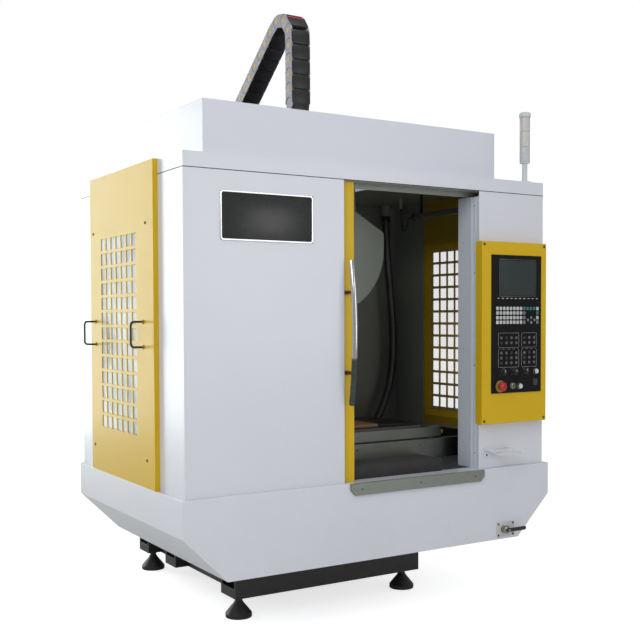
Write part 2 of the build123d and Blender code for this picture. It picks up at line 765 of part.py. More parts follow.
# Door: a folded yellow frame that runs on the tray's flange, with its pane in a rebate
door_x = (-810.0, -130.0)
door_set_back = 13.0
door_thickness = 30.0
door_front_y = front_y + door_set_back
door_y = (door_front_y, door_front_y + door_thickness)
door_z = (wall_bottom_z + slide_gap, soffit_z - slide_gap)
door_stile = 62.0
door_rail = 90.0
door_rebate = 8.0
rebate_depth = 9.0
door_pane = 5.0

with BuildPart() as door:
    block(door_x, door_y, door_z)
    pane_x = (door_x[0] + door_stile, door_x[1] - door_stile)
    pane_z = (door_z[0] + door_rail, door_z[1] - door_rail)
    block(pane_x, door_y, pane_z, Mode.SUBTRACT)
    rebate_x = (pane_x[0] - door_rebate, pane_x[1] + door_rebate)
    rebate_z = (pane_z[0] - door_rebate, pane_z[1] + door_rebate)
    rebate_y = (door_y[1] - rebate_depth, door_y[1])
    block(rebate_x, rebate_y, rebate_z, Mode.SUBTRACT)
door.part.label = "door"
export_step(door.part, "parts/door.step")

with BuildPart() as door_window:
    block(rebate_x, (rebate_y[0], rebate_y[0] + door_pane), rebate_z)
door_window.part.label = "door_window"
export_step(door_window.part, "parts/door_window.step")

# Door handle: a bowed tube on two round standoffs
handle_x = -165.0
handle_z = (897.0, 1451.0)
handle_end_reach = 35.0
handle_mid_reach = 58.0
handle_radius = 11.0
standoff_radius = 8.0
standoff_z = (1021.0, 1330.0)
handle_mid_z = (handle_z[0] + handle_z[1]) / 2
handle_sag = handle_mid_reach - handle_end_reach
handle_half = (handle_z[1] - handle_z[0]) / 2
bow_radius = (handle_half ** 2 + handle_sag ** 2) / (2 * handle_sag)

with BuildPart() as door_handle:
    end_y = door_front_y - handle_end_reach
    mid_y = door_front_y - handle_mid_reach
    with BuildLine():
        bow = ThreePointArc((handle_x, end_y, handle_z[0]), (handle_x, mid_y, handle_mid_z), (handle_x, end_y, handle_z[1]))
    with BuildSketch(Plane(origin=bow @ 0, z_dir=bow % 0)):
        Circle(handle_radius)
    sweep(path=bow)
    for post_z in standoff_z:
        rise = post_z - handle_mid_z
        post_reach = handle_mid_reach - rise ** 2 / (2 * bow_radius)
        round_bar((handle_x, door_front_y, post_z), (0, -1, 0), standoff_radius, post_reach)
door_handle.part.label = "door_handle"
export_step(door_handle.part, "parts/door_handle.step")

# Control box: a folded yellow pan with one cutout behind the two black units
control_x = (470.0, 832.0)
control_z = (786.0, 1549.0)
control_depth = 40.0
unit_x = (520.0, 800.0)
unit_split_z = 1187.0
unit_top_z = 1494.0
unit_bottom_z = 913.0
unit_flange = 3.0
unit_overlap = 7.0
unit_body_depth = 32.0
control_front_y = front_y - control_depth
unit_front_y = control_front_y - unit_flange

with BuildPart() as control_box:
    block(control_x, (control_front_y, front_y), control_z)
    inside = [(control_x[0] + sheet, control_x[1] - sheet), (control_z[0] + sheet, control_z[1] - sheet)]
    block(inside[0], (control_front_y + sheet, front_y), inside[1], Mode.SUBTRACT)
    cut_x = (unit_x[0] + unit_overlap, unit_x[1] - unit_overlap)
    cut_z = (unit_bottom_z + unit_overlap, unit_top_z - unit_overlap)
    block(cut_x, (control_front_y, control_front_y + sheet), cut_z, Mode.SUBTRACT)
control_box.part.label = "control_box"
export_step(control_box.part, "parts/control_box.step")

# Display unit: screen bezel above, soft key marks and the data keys below
screen_x = (566.0, 764.0)
screen_z = (1324.0, 1472.0)
screen_recess = 2.0
key_size = (14.5, 15.0)
key_rise = 2.0
key_pitch_x = 18.83
key_first_x = 550.0
key_row_z = (1269.6, 1250.4, 1230.6, 1211.4)
key_columns_full = 13
key_columns_short = 9
cursor_keys = ((740.5, 1230.6), (722.0, 1220.7), (759.0, 1220.7), (740.5, 1210.3))
cursor_size = 12.0
cursor_turn = 45.0

with BuildPart() as display_unit:
    block(unit_x, (unit_front_y, control_front_y), (unit_split_z, unit_top_z))
    body_y = (control_front_y, control_front_y + unit_body_depth)
    body_z = (unit_split_z + unit_overlap, cut_z[1])
    block((cut_x[0] + slide_gap, cut_x[1] - slide_gap), body_y, (body_z[0], body_z[1] - slide_gap))
    block(screen_x, (unit_front_y, unit_front_y + screen_recess), screen_z, Mode.SUBTRACT)
    key_places = [(key_first_x + i * key_pitch_x, key_row_z[0]) for i in range(key_columns_full)]
    for row_z in key_row_z[1:]:
        key_places += [(key_first_x + i * key_pitch_x, row_z) for i in range(key_columns_short)]
        key_places.append((key_first_x + (key_columns_full - 1) * key_pitch_x, row_z))
    with BuildSketch(Plane.XZ.offset(-unit_front_y)):
        with Locations(*key_places):
            Rectangle(*key_size)
        with Locations(*cursor_keys):
            Rectangle(cursor_size, cursor_size, rotation=cursor_turn)
    extrude(amount=key_rise)
display_unit.part.label = "display_unit"
export_step(display_unit.part, "parts/display_unit.step")

with BuildPart() as screen:
    block(screen_x, (unit_front_y + 0.5, unit_front_y + screen_recess), screen_z)
screen.part.label = "screen"
export_step(screen.part, "parts/screen.step")

# Operator panel: four fields of keys, and bored seats for the knobs and buttons below
panel_z = (unit_bottom_z, unit_split_z)
control_bore = 6.0
panel_key = 12.0
panel_key_rise = 1.2
panel_fields = (
    (615.0, 1144.0, 4, 2),
    (730.5, 1144.0, 3, 2),
    (615.0, 1072.0, 4, 3),
    (730.5, 1072.0, 3, 3),
)
field_pitch = (28.0, 21.0)
knob_places = ((583.0, 1002.0), (647.0, 1002.0), (708.0, 1004.0))
start_button_place = (768.0, 1001.0)
stop_button_place = (676.0, 940.0)
emergency_place = (568.0, 942.0)
key_switch_place = (636.0, 943.0)
port_place = (766.0, 955.0)
port_size = (26.0, 30.0)
emergency_ring = (25.0, 2.0)
bezel_radius = 13.0
bezel_rise = 1.5
stem_depth = 12.0
emergency_travel = 6.0
seat_depth = stem_depth + emergency_travel + 1.0
control_places = list(knob_places)
control_places += [start_button_place, stop_button_place, emergency_place, key_switch_place]

with BuildPart() as operator_panel:
    block(unit_x, (unit_front_y, control_front_y), panel_z)
    panel_body_z = (cut_z[0] + slide_gap, unit_split_z - unit_overlap)
    block((cut_x[0] + slide_gap, cut_x[1] - slide_gap), body_y, panel_body_z)
    with BuildSketch(Plane.XZ.offset(-unit_front_y)):
        for field_x, field_z, columns, rows in panel_fields:
            with Locations((field_x, field_z)):
                with GridLocations(field_pitch[0], field_pitch[1], columns, rows):
                    Rectangle(panel_key, panel_key)
        with Locations(port_place):
            Rectangle(*port_size)
    extrude(amount=panel_key_rise)
    with BuildSketch(Plane.XZ.offset(-unit_front_y)):
        with Locations(start_button_place, stop_button_place, key_switch_place):
            Circle(bezel_radius)
    extrude(amount=bezel_rise)
    with BuildSketch(Plane.XZ.offset(-unit_front_y)):
        with Locations(emergency_place):
            Circle(emergency_ring[0])
    extrude(amount=emergency_ring[1])
    with BuildSketch(Plane.XZ.offset(-(unit_front_y - emergency_ring[1]))):
        with Locations(*control_places):
            Circle(control_bore)
    extrude(amount=-(seat_depth + emergency_ring[1]), mode=Mode.SUBTRACT)
operator_panel.part.label = "operator_panel"
export_step(operator_panel.part, "parts/operator_panel.step")

# Knobs and buttons: each has a stem in its seat and a cap in front of the panel
stem_radius = control_bore - running_gap
knob_skirt = (15.0, 5.0)
knob_grip = (10.5, 16.0)
pointer = (2.0, 1.2)
button_radius = 10.0
button_height = 9.0
button_travel = 4.0
mushroom_radius = 20.0
mushroom_height = 14.0
mushroom_crown = 9.0
mushroom_lift = 4.0


def panel_stem(place, face_y):
    """The stem in its seat, from the face in front of it back into the panel."""
    start = (place[0], face_y, place[1])
    round_bar(start, (0, 1, 0), stem_radius, unit_front_y + stem_depth - face_y)


def rotary_knob(place, face_y):
    """A skirted knob with a pointer rib on its front."""
    panel_stem(place, face_y)
    round_bar((place[0], face_y, place[1]), (0, -1, 0), knob_skirt[0], knob_skirt[1])
    round_bar((place[0], face_y, place[1]), (0, -1, 0), knob_grip[0], knob_grip[1])
    rib_x = (place[0] - pointer[0] / 2, place[0] + pointer[0] / 2)
    rib_z = (place[1], place[1] + knob_grip[0])
    tip_y = face_y - knob_grip[1]
    block(rib_x, (tip_y - pointer[1], tip_y), rib_z)


knob_face_y = unit_front_y - running_gap
with BuildPart() as knob_left:
    rotary_knob(knob_places[0], knob_face_y)
knob_left.part.label = "knob_left"
export_step(knob_left.part, "parts/knob_left.step")

with BuildPart() as knob_middle:
    rotary_knob(knob_places[1], knob_face_y)
knob_middle.part.label = "knob_middle"
export_step(knob_middle.part, "parts/knob_middle.step")

with BuildPart() as knob_right:
    rotary_knob(knob_places[2], knob_face_y)
knob_right.part.label = "knob_right"
export_step(knob_right.part, "parts/knob_right.step")

with BuildPart() as key_switch:
    key_face_y = unit_front_y - bezel_rise - running_gap
    key_barrel = (11.0, 9.0)
    key_bow = (4.0, 20.0, 12.0)
    panel_stem(key_switch_place, key_face_y)
    key_start = (key_switch_place[0], key_face_y, key_switch_place[1])
    round_bar(key_start, (0, -1, 0), key_barrel[0], key_barrel[1])
    bow_y = (key_face_y - key_barrel[1] - key_bow[2], key_face_y - key_barrel[1])
    bow_x = (key_switch_place[0] - key_bow[0] / 2, key_switch_place[0] + key_bow[0] / 2)
    block(bow_x, bow_y, (key_switch_place[1] - key_bow[1] / 2, key_switch_place[1] + key_bow[1] / 2))
key_switch.part.label = "key_switch"
export_step(key_switch.part, "parts/key_switch.step")


def push_button(place):
    """A flat button whose cap stands off its bezel by its travel."""
    back_face_y = unit_front_y - bezel_rise - button_travel - running_gap
    panel_stem(place, back_face_y)
    round_bar((place[0], back_face_y, place[1]), (0, -1, 0), button_radius, button_height - button_travel)


with BuildPart() as start_button:
    push_button(start_button_place)
start_button.part.label = "start_button"
export_step(start_button.part, "parts/start_button.step")

with BuildPart() as stop_button:
    push_button(stop_button_place)
stop_button.part.label = "stop_button"
export_step(stop_button.part, "parts/stop_button.step")

with BuildPart() as emergency_stop:
    ring_face_y = unit_front_y - emergency_ring[1]
    cap_back_y = ring_face_y - emergency_travel - running_gap - mushroom_lift
    panel_stem(emergency_place, cap_back_y)
    round_bar((emergency_place[0], cap_back_y, emergency_place[1]), (0, -1, 0), mushroom_radius, mushroom_height)
    fillet(emergency_stop.edges().sort_by(Axis.Y)[0], radius=mushroom_crown)
emergency_stop.part.label = "emergency_stop"
export_step(emergency_stop.part, "parts/emergency_stop.step")

# Nameplate: bare plate with a raised rim
plate_x = (-707.0, -324.0)
plate_z = (1511.0, 1687.0)
plate_thickness = 4.0
plate_rim = 5.0
plate_recess = 1.5

with BuildPart() as nameplate:
    block(plate_x, (front_y - plate_thickness, front_y), plate_z)
    field_x = (plate_x[0] + plate_rim, plate_x[1] - plate_rim)
    field_z = (plate_z[0] + plate_rim, plate_z[1] - plate_rim)
    field_y = (front_y - plate_thickness, front_y - plate_thickness + plate_recess)
    block(field_x, field_y, field_z, Mode.SUBTRACT)
nameplate.part.label = "nameplate"
export_step(nameplate.part, "parts/nameplate.step")

# Holder bracket: a folded shelf with two slots, sloping down to the front
holder_x = (515.0, 650.0)
holder_z = 676.0
holder_drop = 14.0
holder_foot = 34.0
holder_sheet = 3.0
holder_slot = (46.0, 22.0)
holder_slot_pitch = 62.0

with BuildPart() as holder_bracket:
    with BuildSketch(Plane.YZ.offset(holder_x[0])):
        with BuildLine():
            tip_y = front_y - holder_reach
            Polyline(
                (front_y, holder_z),
                (front_y, holder_z - holder_foot),
                (front_y - holder_sheet, holder_z - holder_foot),
                (front_y - holder_sheet, holder_z - holder_sheet),
                (tip_y, holder_z - holder_drop - holder_sheet),
                (tip_y, holder_z - holder_drop),
                close=True,
            )
        make_face()
    extrude(amount=holder_x[1] - holder_x[0])
    holder_middle = ((holder_x[0] + holder_x[1]) / 2, front_y - holder_reach / 2)
    with BuildSketch(Plane.XY.offset(holder_z - 2 * holder_drop)):
        with Locations(holder_middle):
            with GridLocations(holder_slot_pitch, 1, 2, 1):
                SlotOverall(holder_slot[0], holder_slot[1])
    extrude(amount=2 * holder_drop, mode=Mode.SUBTRACT)
holder_bracket.part.label = "holder_bracket"
export_step(holder_bracket.part, "parts/holder_bracket.step")

# Service port: a screwed plate with a ball valve, and the valve's lever on its spindle
port_x = (572.0, 667.0)
port_z = (299.0, 361.0)
port_plate = 4.0
valve_place = (609.0, 331.0)
valve_radius = 17.0
valve_length = 26.0
valve_spindle = 5.0
valve_spindle_length = 14.0
lever_thickness = 5.0
lever_width = 16.0
lever_length = 100.0

with BuildPart() as service_port:
    block(port_x, (tray_front_y - port_plate, tray_front_y), port_z)
    plate_face_y = tray_front_y - port_plate
    round_bar((valve_place[0], plate_face_y, valve_place[1]), (0, -1, 0), valve_radius, valve_length)
    valve_face_y = plate_face_y - valve_length
    spindle_start = (valve_place[0], valve_face_y, valve_place[1])
    round_bar(spindle_start, (0, -1, 0), valve_spindle, valve_spindle_length)
service_port.part.label = "service_port"
export_step(service_port.part, "parts/service_port.step")

with BuildPart() as valve_lever:
    lever_y = (valve_face_y - running_gap - lever_thickness, valve_face_y - running_gap)
    lever_z = (valve_place[1] - lever_width / 2, valve_place[1] + lever_width / 2)
    block((valve_place[0] - lever_width / 2, valve_place[0] + lever_length), lever_y, lever_z)
    lever_start = (valve_place[0], lever_y[0], valve_place[1])
    bore_radius = valve_spindle + 0.1
    round_bar(lever_start, (0, 1, 0), bore_radius, lever_thickness, Mode.SUBTRACT)
valve_lever.part.label = "valve_lever"
export_step(valve_lever.part, "parts/valve_lever.step")

# Signal tower: foot, stem, lamp stack and cap on the right front corner of the roof
tower_place = (780.0, front_y + 40.0)
tower_height = 306.0
tower_foot = (26.0, 6.0)
tower_stem = (11.0, 84.0)
tower_body = 22.0
tower_cap = (25.0, 22.0)
tower_groove = 2.0

with BuildPart() as signal_tower:
    tower_rise = 0.0
    stack_height = tower_height - tower_foot[1] - tower_stem[1] - tower_cap[1]
    sections = [(tower_foot[0], tower_foot[1]), (tower_stem[0], tower_stem[1])]
    for index in range(3):
        sections.append((tower_body, stack_height / 3 - tower_groove))
        sections.append((tower_body - tower_groove, tower_groove))
    sections.append((tower_cap[0], tower_cap[1]))
    for radius, height in sections:
        round_bar((tower_place[0], tower_place[1], roof_top_z + tower_rise), (0, 0, 1), radius, height)
        tower_rise += height
signal_tower.part.label = "signal_tower"
export_step(signal_tower.part, "parts/signal_tower.step")

# Work light: a sealed tube under the roof, hung from two straps
lamp_y = (front_y + 200.0, front_y + 640.0)
lamp_z = 1715.0
lamp_radius = 14.0
lamp_cap = (16.0, 14.0)
strap_width = 14.0
strap_inset = 60.0

with BuildPart() as work_light:
    round_bar((lamp_x, lamp_y[0], lamp_z), (0, 1, 0), lamp_radius, lamp_y[1] - lamp_y[0])
    for cap_y, direction in ((lamp_y[0], 1), (lamp_y[1], -1)):
        round_bar((lamp_x, cap_y, lamp_z), (0, direction, 0), lamp_cap[0], lamp_cap[1])
    for strap_y in (lamp_y[0] + strap_inset, lamp_y[1] - strap_inset):
        y_span = (strap_y - strap_width / 2, strap_y + strap_width / 2)
        block((lamp_x - sheet, lamp_x + sheet), y_span, (lamp_z, roof_plate_z))
work_light.part.label = "work_light"
export_step(work_light.part, "parts/work_light.step")


def cord_radii(points):
    """Bend radii for a cord's route: 0.45 of the shorter run over the tangent of half the turn."""
    radii = []
    for before, here, after in zip(points, points[1:], points[2:]):
        run_in = Vector(*here) - Vector(*before)
        run_out = Vector(*after) - Vector(*here)
        turn = radians(run_in.get_angle(run_out))
        radii.append(0.45 * min(run_in.length, run_out.length) / tan(turn / 2))
    return radii


def cord_tube(points, radius):
    """A round tube along straight runs joined by tangent arcs."""
    with BuildLine():
        route = FilletPolyline(*points, radius=cord_radii(points))
    with BuildSketch(Plane(origin=route @ 0, z_dir=route % 0)) as section:
        Circle(radius)
    sweep(section.sketch, path=route)
    return route.length


# Lamp cable: leaves the lamp's end, hangs in a loop and goes up into its gland
lamp_cable_radius = 3.5
lamp_cable_points = [
    (lamp_x, lamp_y[1], lamp_z),
    (lamp_x, lamp_y[1] + 50.0, lamp_z),
    (lamp_x, lamp_y[1] + 50.0, lamp_z - 60.0),
    (lamp_x, lamp_loop_y, lamp_z - 60.0),
    (lamp_x, lamp_loop_y, lamp_gland_z),
]
with BuildPart() as lamp_cable:
    lamp_cable_length = cord_tube(lamp_cable_points, lamp_cable_radius)
lamp_cable.part.label = "lamp_cable"
export_step(lamp_cable.part, "parts/lamp_cable.step")

# Armoured hose: down the back of the cabin from the roof gland, then under to the bed's gland
hose_points = [
    (hose_top_x, hose_y, hose_top_z),
    (hose_top_x, hose_y, 1620.0),
    (775.0, hose_y, 1370.0),
    (795.0, hose_y, 1110.0),
    (780.0, hose_y, 910.0),
    (715.0, hose_y, 745.0),
    (625.0, hose_y, 610.0),
    (530.0, hose_y, hose_end_z),
    (bed_half + gland_length, hose_y, hose_end_z),
]
with BuildPart() as armored_hose:
    hose_length = cord_tube(hose_points, hose_radius)
armored_hose.part.label = "armored_hose"
export_step(armored_hose.part, "parts/armored_hose.step")

# Head: a deep arm from the Z guides to the spindle, with the chain's shelf at its front corner
head_half = 130.0
head_front_y = spindle_y - 75.0
head_nose_back_y = spindle_y + 90.0
head_bottom_z = 1300.0
head_arm_z = 1390.0
head_top_z = 1900.0
head_chamfer = 40.0
rear_plate_half = 190.0
rear_plate_y = (column_front_y - 100.0, column_front_y - 60.0)
rear_plate_z = (1330.0, 1850.0)
cartridge_radius = 70.0
cartridge_drop = 50.0
spindle_shaft_radius = 35.0
spindle_shaft_top_z = 1400.0
z_carriage_z = (1380.0, 1740.0)
z_nut_z = (1550.0, 1600.0)
chain_x = (-150.0, -60.0)
chain_plate = 28.0
chain_front_y = front_y + 480.0
chain_shelf_z = 2110.0
chain_shelf_thickness = 6.0
shelf_post_x = (-130.0, -95.0)
spindle_motor_half = 83.0

with BuildPart() as head:
    with BuildSketch(Plane.YZ):
        with BuildLine():
            Polyline(
                (head_front_y, head_bottom_z),
                (head_nose_back_y, head_bottom_z),
                (head_nose_back_y + 70.0, head_arm_z),
                (rear_plate_y[0], head_arm_z),
                (rear_plate_y[0], rear_plate_z[1] - 30.0),
                (head_nose_back_y + 60.0, head_top_z),
                (head_front_y, head_top_z),
                close=True,
            )
        make_face()
    extrude(amount=head_half, both=True)
    front_edges = head.edges().filter_by(Axis.Z).group_by(Axis.Y)[0]
    chamfer(front_edges, length=head_chamfer)
    block((-rear_plate_half, rear_plate_half), rear_plate_y, rear_plate_z)
    nose_start = (0, spindle_y, head_bottom_z - cartridge_drop)
    round_bar(nose_start, (0, 0, 1), cartridge_radius, cartridge_drop)
    shaft_bore = spindle_shaft_radius + running_gap
    shaft_bore_length = spindle_shaft_top_z + running_gap - nose_start[2]
    round_bar(nose_start, (0, 0, 1), shaft_bore, shaft_bore_length, Mode.SUBTRACT)
    # four carriages straddle the Z guides
    for rail_x in (-z_rail_x, z_rail_x):
        x_span = (rail_x - carriage_width / 2, rail_x + carriage_width / 2)
        for carriage_z in z_carriage_z:
            y_span = (rear_plate_y[1], column_front_y - carriage_gap)
            block(x_span, y_span, (carriage_z, carriage_z + carriage_length))
        slot_x = (rail_x - rail_slot / 2, rail_x + rail_slot / 2)
        slot_y = (column_front_y - rail_height - slide_gap, column_front_y)
        block(slot_x, slot_y, rear_plate_z, Mode.SUBTRACT)
    block((-nut_half, nut_half), (rear_plate_y[1], z_screw_y + screw_radius + 8.0), z_nut_z)
    round_bar((0, z_screw_y, z_nut_z[0]), (0, 0, 1), bore, z_nut_z[1] - z_nut_z[0], Mode.SUBTRACT)
head.part.label = "head"
export_step(head.part, "parts/head.step")

# Chain shelf: a bent plate that stands on the head beside the spindle motor and carries the chain's first link
shelf_post_gap = 46.0
shelf_post_plate = 3 * sheet

with BuildPart() as chain_shelf:
    shelf_z = (chain_shelf_z - chain_shelf_thickness, chain_shelf_z)
    shelf_y = (chain_front_y - chain_plate, chain_front_y + chain_plate)
    block(chain_x, shelf_y, shelf_z)
    post_y = (shelf_y[1] + shelf_post_gap, shelf_y[1] + shelf_post_gap + shelf_post_plate)
    block(shelf_post_x, (shelf_y[1], post_y[1]), shelf_z)
    block(shelf_post_x, post_y, (head_top_z, chain_shelf_z))
chain_shelf.part.label = "chain_shelf"
export_step(chain_shelf.part, "parts/chain_shelf.step")

# Spindle motor: a square-section motor on the head, with its fan shroud
spindle_motor_height = 190.0
spindle_motor_cap = 30.0

with BuildPart() as spindle_motor:
    with BuildSketch(Plane.XY.offset(head_top_z)):
        with Locations((0, spindle_y)):
            RectangleRounded(2 * spindle_motor_half, 2 * spindle_motor_half, 12.0)
    extrude(amount=spindle_motor_height)
    with BuildSketch(Plane.XY.offset(head_top_z + spindle_motor_height)):
        with Locations((0, spindle_y)):
            Circle(spindle_motor_half - 6.0)
    extrude(amount=spindle_motor_cap)
spindle_motor.part.label = "spindle_motor"
export_step(spindle_motor.part, "parts/spindle_motor.step")

# Spindle: shaft and nose with a 7/24 taper for size 30 holders, and two drive keys
nose_radius = 44.0
taper_radius = 15.875
taper_depth = 50.0
taper_ratio = 7.0 / 24.0
drawbar_radius = 8.5
drawbar_depth = 90.0
drive_key = (16.0, 12.0, 8.0)

with BuildPart() as spindle:
    flange_top_z = head_bottom_z - cartridge_drop - running_gap
    round_bar((0, spindle_y, nose_z), (0, 0, 1), nose_radius, flange_top_z - nose_z)
    round_bar((0, spindle_y, nose_z), (0, 0, 1), spindle_shaft_radius, spindle_shaft_top_z - nose_z)
    with BuildSketch(Plane(origin=(0, spindle_y, nose_z), x_dir=(1, 0, 0), z_dir=(0, -1, 0))):
        with BuildLine():
            taper_end = taper_radius - taper_depth * taper_ratio / 2
            Polyline(
                (0, 0),
                (taper_radius, 0),
                (taper_end, taper_depth),
                (drawbar_radius, taper_depth),
                (drawbar_radius, drawbar_depth),
                (0, drawbar_depth),
                close=True,
            )
        make_face()
    revolve(axis=Axis((0, spindle_y, 0), (0, 0, 1)), mode=Mode.SUBTRACT)
    for side in (-1, 1):
        key_x = (side * (taper_radius + 4.0), side * (taper_radius + 4.0 + drive_key[0]))
        block(key_x, (spindle_y - drive_key[1] / 2, spindle_y + drive_key[1] / 2), (nose_z - drive_key[2], nose_z))
spindle.part.label = "spindle"
export_step(spindle.part, "parts/spindle.step")

# Magazine cover: a drum with a sloped crown that hangs from the roof's edge
magazine_z = 1537.0
magazine_radius = 285.0
magazine_side_z = 1605.0
magazine_crown_z = 1693.0
magazine_crown_half = 134.0
magazine_y = (front_y + 400.0, front_y + 512.0)
magazine_mouth = (75.0, 60.0)
hanger_sheet = 6.0
pivot_radius = 15.0


def magazine_outline(wall):
    """Front view of the magazine's cover, drawn inside the outer one by the wall."""
    with BuildLine() as outline:
        ThreePointArc((-magazine_radius, magazine_z), (0, magazine_z - magazine_radius), (magazine_radius, magazine_z))
        Polyline(
            (magazine_radius, magazine_z),
            (magazine_radius, magazine_side_z),
            (magazine_crown_half, magazine_crown_z),
            (-magazine_crown_half, magazine_crown_z),
            (-magazine_radius, magazine_side_z),
            (-magazine_radius, magazine_z),
        )
    make_face(outline.edges())
    if wall > 0:
        offset(amount=-wall, kind=Kind.INTERSECTION, mode=Mode.REPLACE)


with BuildPart() as magazine_cover:
    with BuildSketch(Plane.XZ.offset(-magazine_y[1])):
        magazine_outline(0)
    extrude(amount=magazine_y[1] - magazine_y[0])
    with BuildSketch(Plane.XZ.offset(-magazine_y[1])):
        magazine_outline(sheet)
    extrude(amount=magazine_y[1] - magazine_y[0] - sheet, mode=Mode.SUBTRACT)
    # the rim stops where the sides end, so that the disc's forks pass up behind the crown
    crown_y = (magazine_y[0] + sheet, magazine_y[1])
    crown_z = (magazine_side_z, magazine_crown_z)
    block((-magazine_radius, magazine_radius), crown_y, crown_z, Mode.SUBTRACT)
    # tools leave through a mouth at the bottom of the rim
    mouth_z = (magazine_z - magazine_radius, magazine_z - magazine_radius + magazine_mouth[1])
    mouth_x = (-magazine_mouth[0], magazine_mouth[0])
    block(mouth_x, (magazine_y[0] + sheet, magazine_y[1]), mouth_z, Mode.SUBTRACT)
    hanger_x = (-magazine_crown_half, magazine_crown_half)
    hanger_z = (magazine_crown_z - sheet, roof_plate_z)
    block(hanger_x, (magazine_y[0], magazine_y[0] + hanger_sheet), hanger_z)
    flange_z = (roof_plate_z - hanger_sheet, roof_plate_z)
    block(hanger_x, (magazine_y[0], roof_hole_front), flange_z)
    pivot_start = (0, magazine_y[0] + sheet, magazine_z)
    pivot_length = magazine_y[1] - magazine_y[0] - sheet
    round_bar(pivot_start, (0, 1, 0), pivot_radius, pivot_length)
magazine_cover.part.label = "magazine_cover"
export_step(magazine_cover.part, "parts/magazine_cover.step")

# Tool disc: a wheel with a gripper fork for each tool round its rim
tool_count = 21
disc_radius = 215.0
disc_y = (front_y + 455.0, front_y + 467.0)
disc_hub = 60.0
fork_reach = 262.0
fork_root = 205.0
fork_width = 44.0
fork_depth = 24.0
grip_radius = 15.0

with BuildPart() as tool_disc:
    disc_plane = Plane.XZ.offset(-disc_y[1])
    with BuildSketch(disc_plane):
        with Locations((0, magazine_z)):
            Circle(disc_radius)
            with PolarLocations((disc_radius + disc_hub) / 2, 6):
                Circle(disc_hub / 2, mode=Mode.SUBTRACT)
    extrude(amount=disc_y[1] - disc_y[0])
    hub_start_y = magazine_y[0] + sheet + running_gap
    round_bar((0, hub_start_y, magazine_z), (0, 1, 0), disc_hub, disc_y[1] + fork_depth - hub_start_y)
    with BuildSketch(disc_plane.offset(-fork_depth)):
        with Locations((0, magazine_z)):
            with PolarLocations((fork_reach + fork_root) / 2, tool_count, start_angle=-90):
                Rectangle(fork_reach - fork_root, fork_width)
            with PolarLocations(fork_reach - grip_radius / 2, tool_count, start_angle=-90):
                SlotCenterToCenter(2 * grip_radius, 2 * grip_radius, mode=Mode.SUBTRACT)
    extrude(amount=fork_depth)
    round_bar((0, hub_start_y, magazine_z), (0, 1, 0), pivot_radius + running_gap, cabin_depth, Mode.SUBTRACT)
tool_disc.part.label = "tool_disc"
export_step(tool_disc.part, "parts/tool_disc.step")

# Cable chain: links from the head's shelf up, over a bend and down a slope to the column's top
link_pitch = 62.0
cheek_sheet = 3.0
cheek_gap = 0.2
chain_bend_z = 2425.0
chain_bend_radius = 85.0
chain_slope = radians(38.0)
chain_cover = 4.0
cover_length = 30.0
pin_gap = 0.3
chain_width = chain_x[1] - chain_x[0]


def chain_point(distance):
    """Place on the chain's line in the plane of its bend, measured from its pin on the shelf."""
    start_z = chain_shelf_z + chain_plate
    rise = chain_bend_z - start_z
    bend = pi / 2 + chain_slope
    if distance <= rise:
        return chain_front_y, start_z + distance
    turn = min((distance - rise) / chain_bend_radius, bend)
    run = distance - rise - turn * chain_bend_radius
    y = chain_front_y + chain_bend_radius * (1 - cos(turn)) + run * cos(chain_slope)
    z = chain_bend_z + chain_bend_radius * sin(turn) - run * sin(chain_slope)
    return y, z


def next_pin(distance):
    """Distance along the line to the pin that lies one link's pitch further on."""
    y0, z0 = chain_point(distance)
    step = link_pitch
    for _ in range(20):
        y1, z1 = chain_point(distance + step)
        step += link_pitch - hypot(y1 - y0, z1 - z0)
    return distance + step


# one link: two cheeks, half-lapped at their pins, joined by an inner and an outer cover
with BuildPart() as chain_link:
    outer_layers = (0.0, chain_width - cheek_sheet)
    inner_layers = (cheek_sheet, chain_width - 2 * cheek_sheet)
    for layer in outer_layers:
        with BuildSketch(Plane.XY.offset(layer)):
            with Locations((link_pitch / 2, 0)):
                SlotCenterToCenter(link_pitch, 2 * chain_plate)
            Circle(chain_plate + pin_gap, mode=Mode.SUBTRACT)
        extrude(amount=cheek_sheet)
    for layer in inner_layers:
        with BuildSketch(Plane.XY.offset(layer)):
            with Locations((link_pitch / 2, 0)):
                SlotCenterToCenter(link_pitch, 2 * chain_plate)
            with Locations((link_pitch, 0)):
                Circle(chain_plate + pin_gap, mode=Mode.SUBTRACT)
        extrude(amount=cheek_sheet)
    # a hair's gap between the laps of neighbouring links
    for gap_z in (cheek_sheet - cheek_gap / 2, chain_width - cheek_sheet - cheek_gap / 2):
        with BuildSketch(Plane.XY.offset(gap_z)):
            with Locations((0, 0), (link_pitch, 0)):
                Circle(chain_plate + 2 * pin_gap)
        extrude(amount=cheek_gap, mode=Mode.SUBTRACT)
    with BuildSketch(Plane.XY.offset(2 * cheek_sheet)):
        for edge in (-1, 1):
            with Locations((link_pitch / 2, edge * (chain_plate - chain_cover / 2))):
                Rectangle(cover_length, chain_cover)
    extrude(amount=chain_width - 4 * cheek_sheet)

with BuildPart() as cable_chain:
    pins = [0.0]
    while chain_point(next_pin(pins[-1]))[1] > column_top_z + chain_plate:
        pins.append(next_pin(pins[-1]))
    link_places = []
    for start, end in zip(pins, pins[1:]):
        y0, z0 = chain_point(start)
        y1, z1 = chain_point(end)
        along = Vector(0, y1 - y0, z1 - z0)
        link_places.append(Plane(origin=(chain_x[0], y0, z0), x_dir=along, z_dir=(1, 0, 0)).location)
    with Locations(*link_places):
        add(chain_link.part)
cable_chain.part.label = "cable_chain"
export_step(cable_chain.part, "parts/cable_chain.step")

# Y bellows: a folded way cover between the tray's front flange and the saddle's apron
bellows_half = 330.0
bellows_front_y = front_y + 46.0
bellows_end_plate = 4.0
bellows_rise = 14.0
bellows_skin = 2.0
bellows_folds = 9

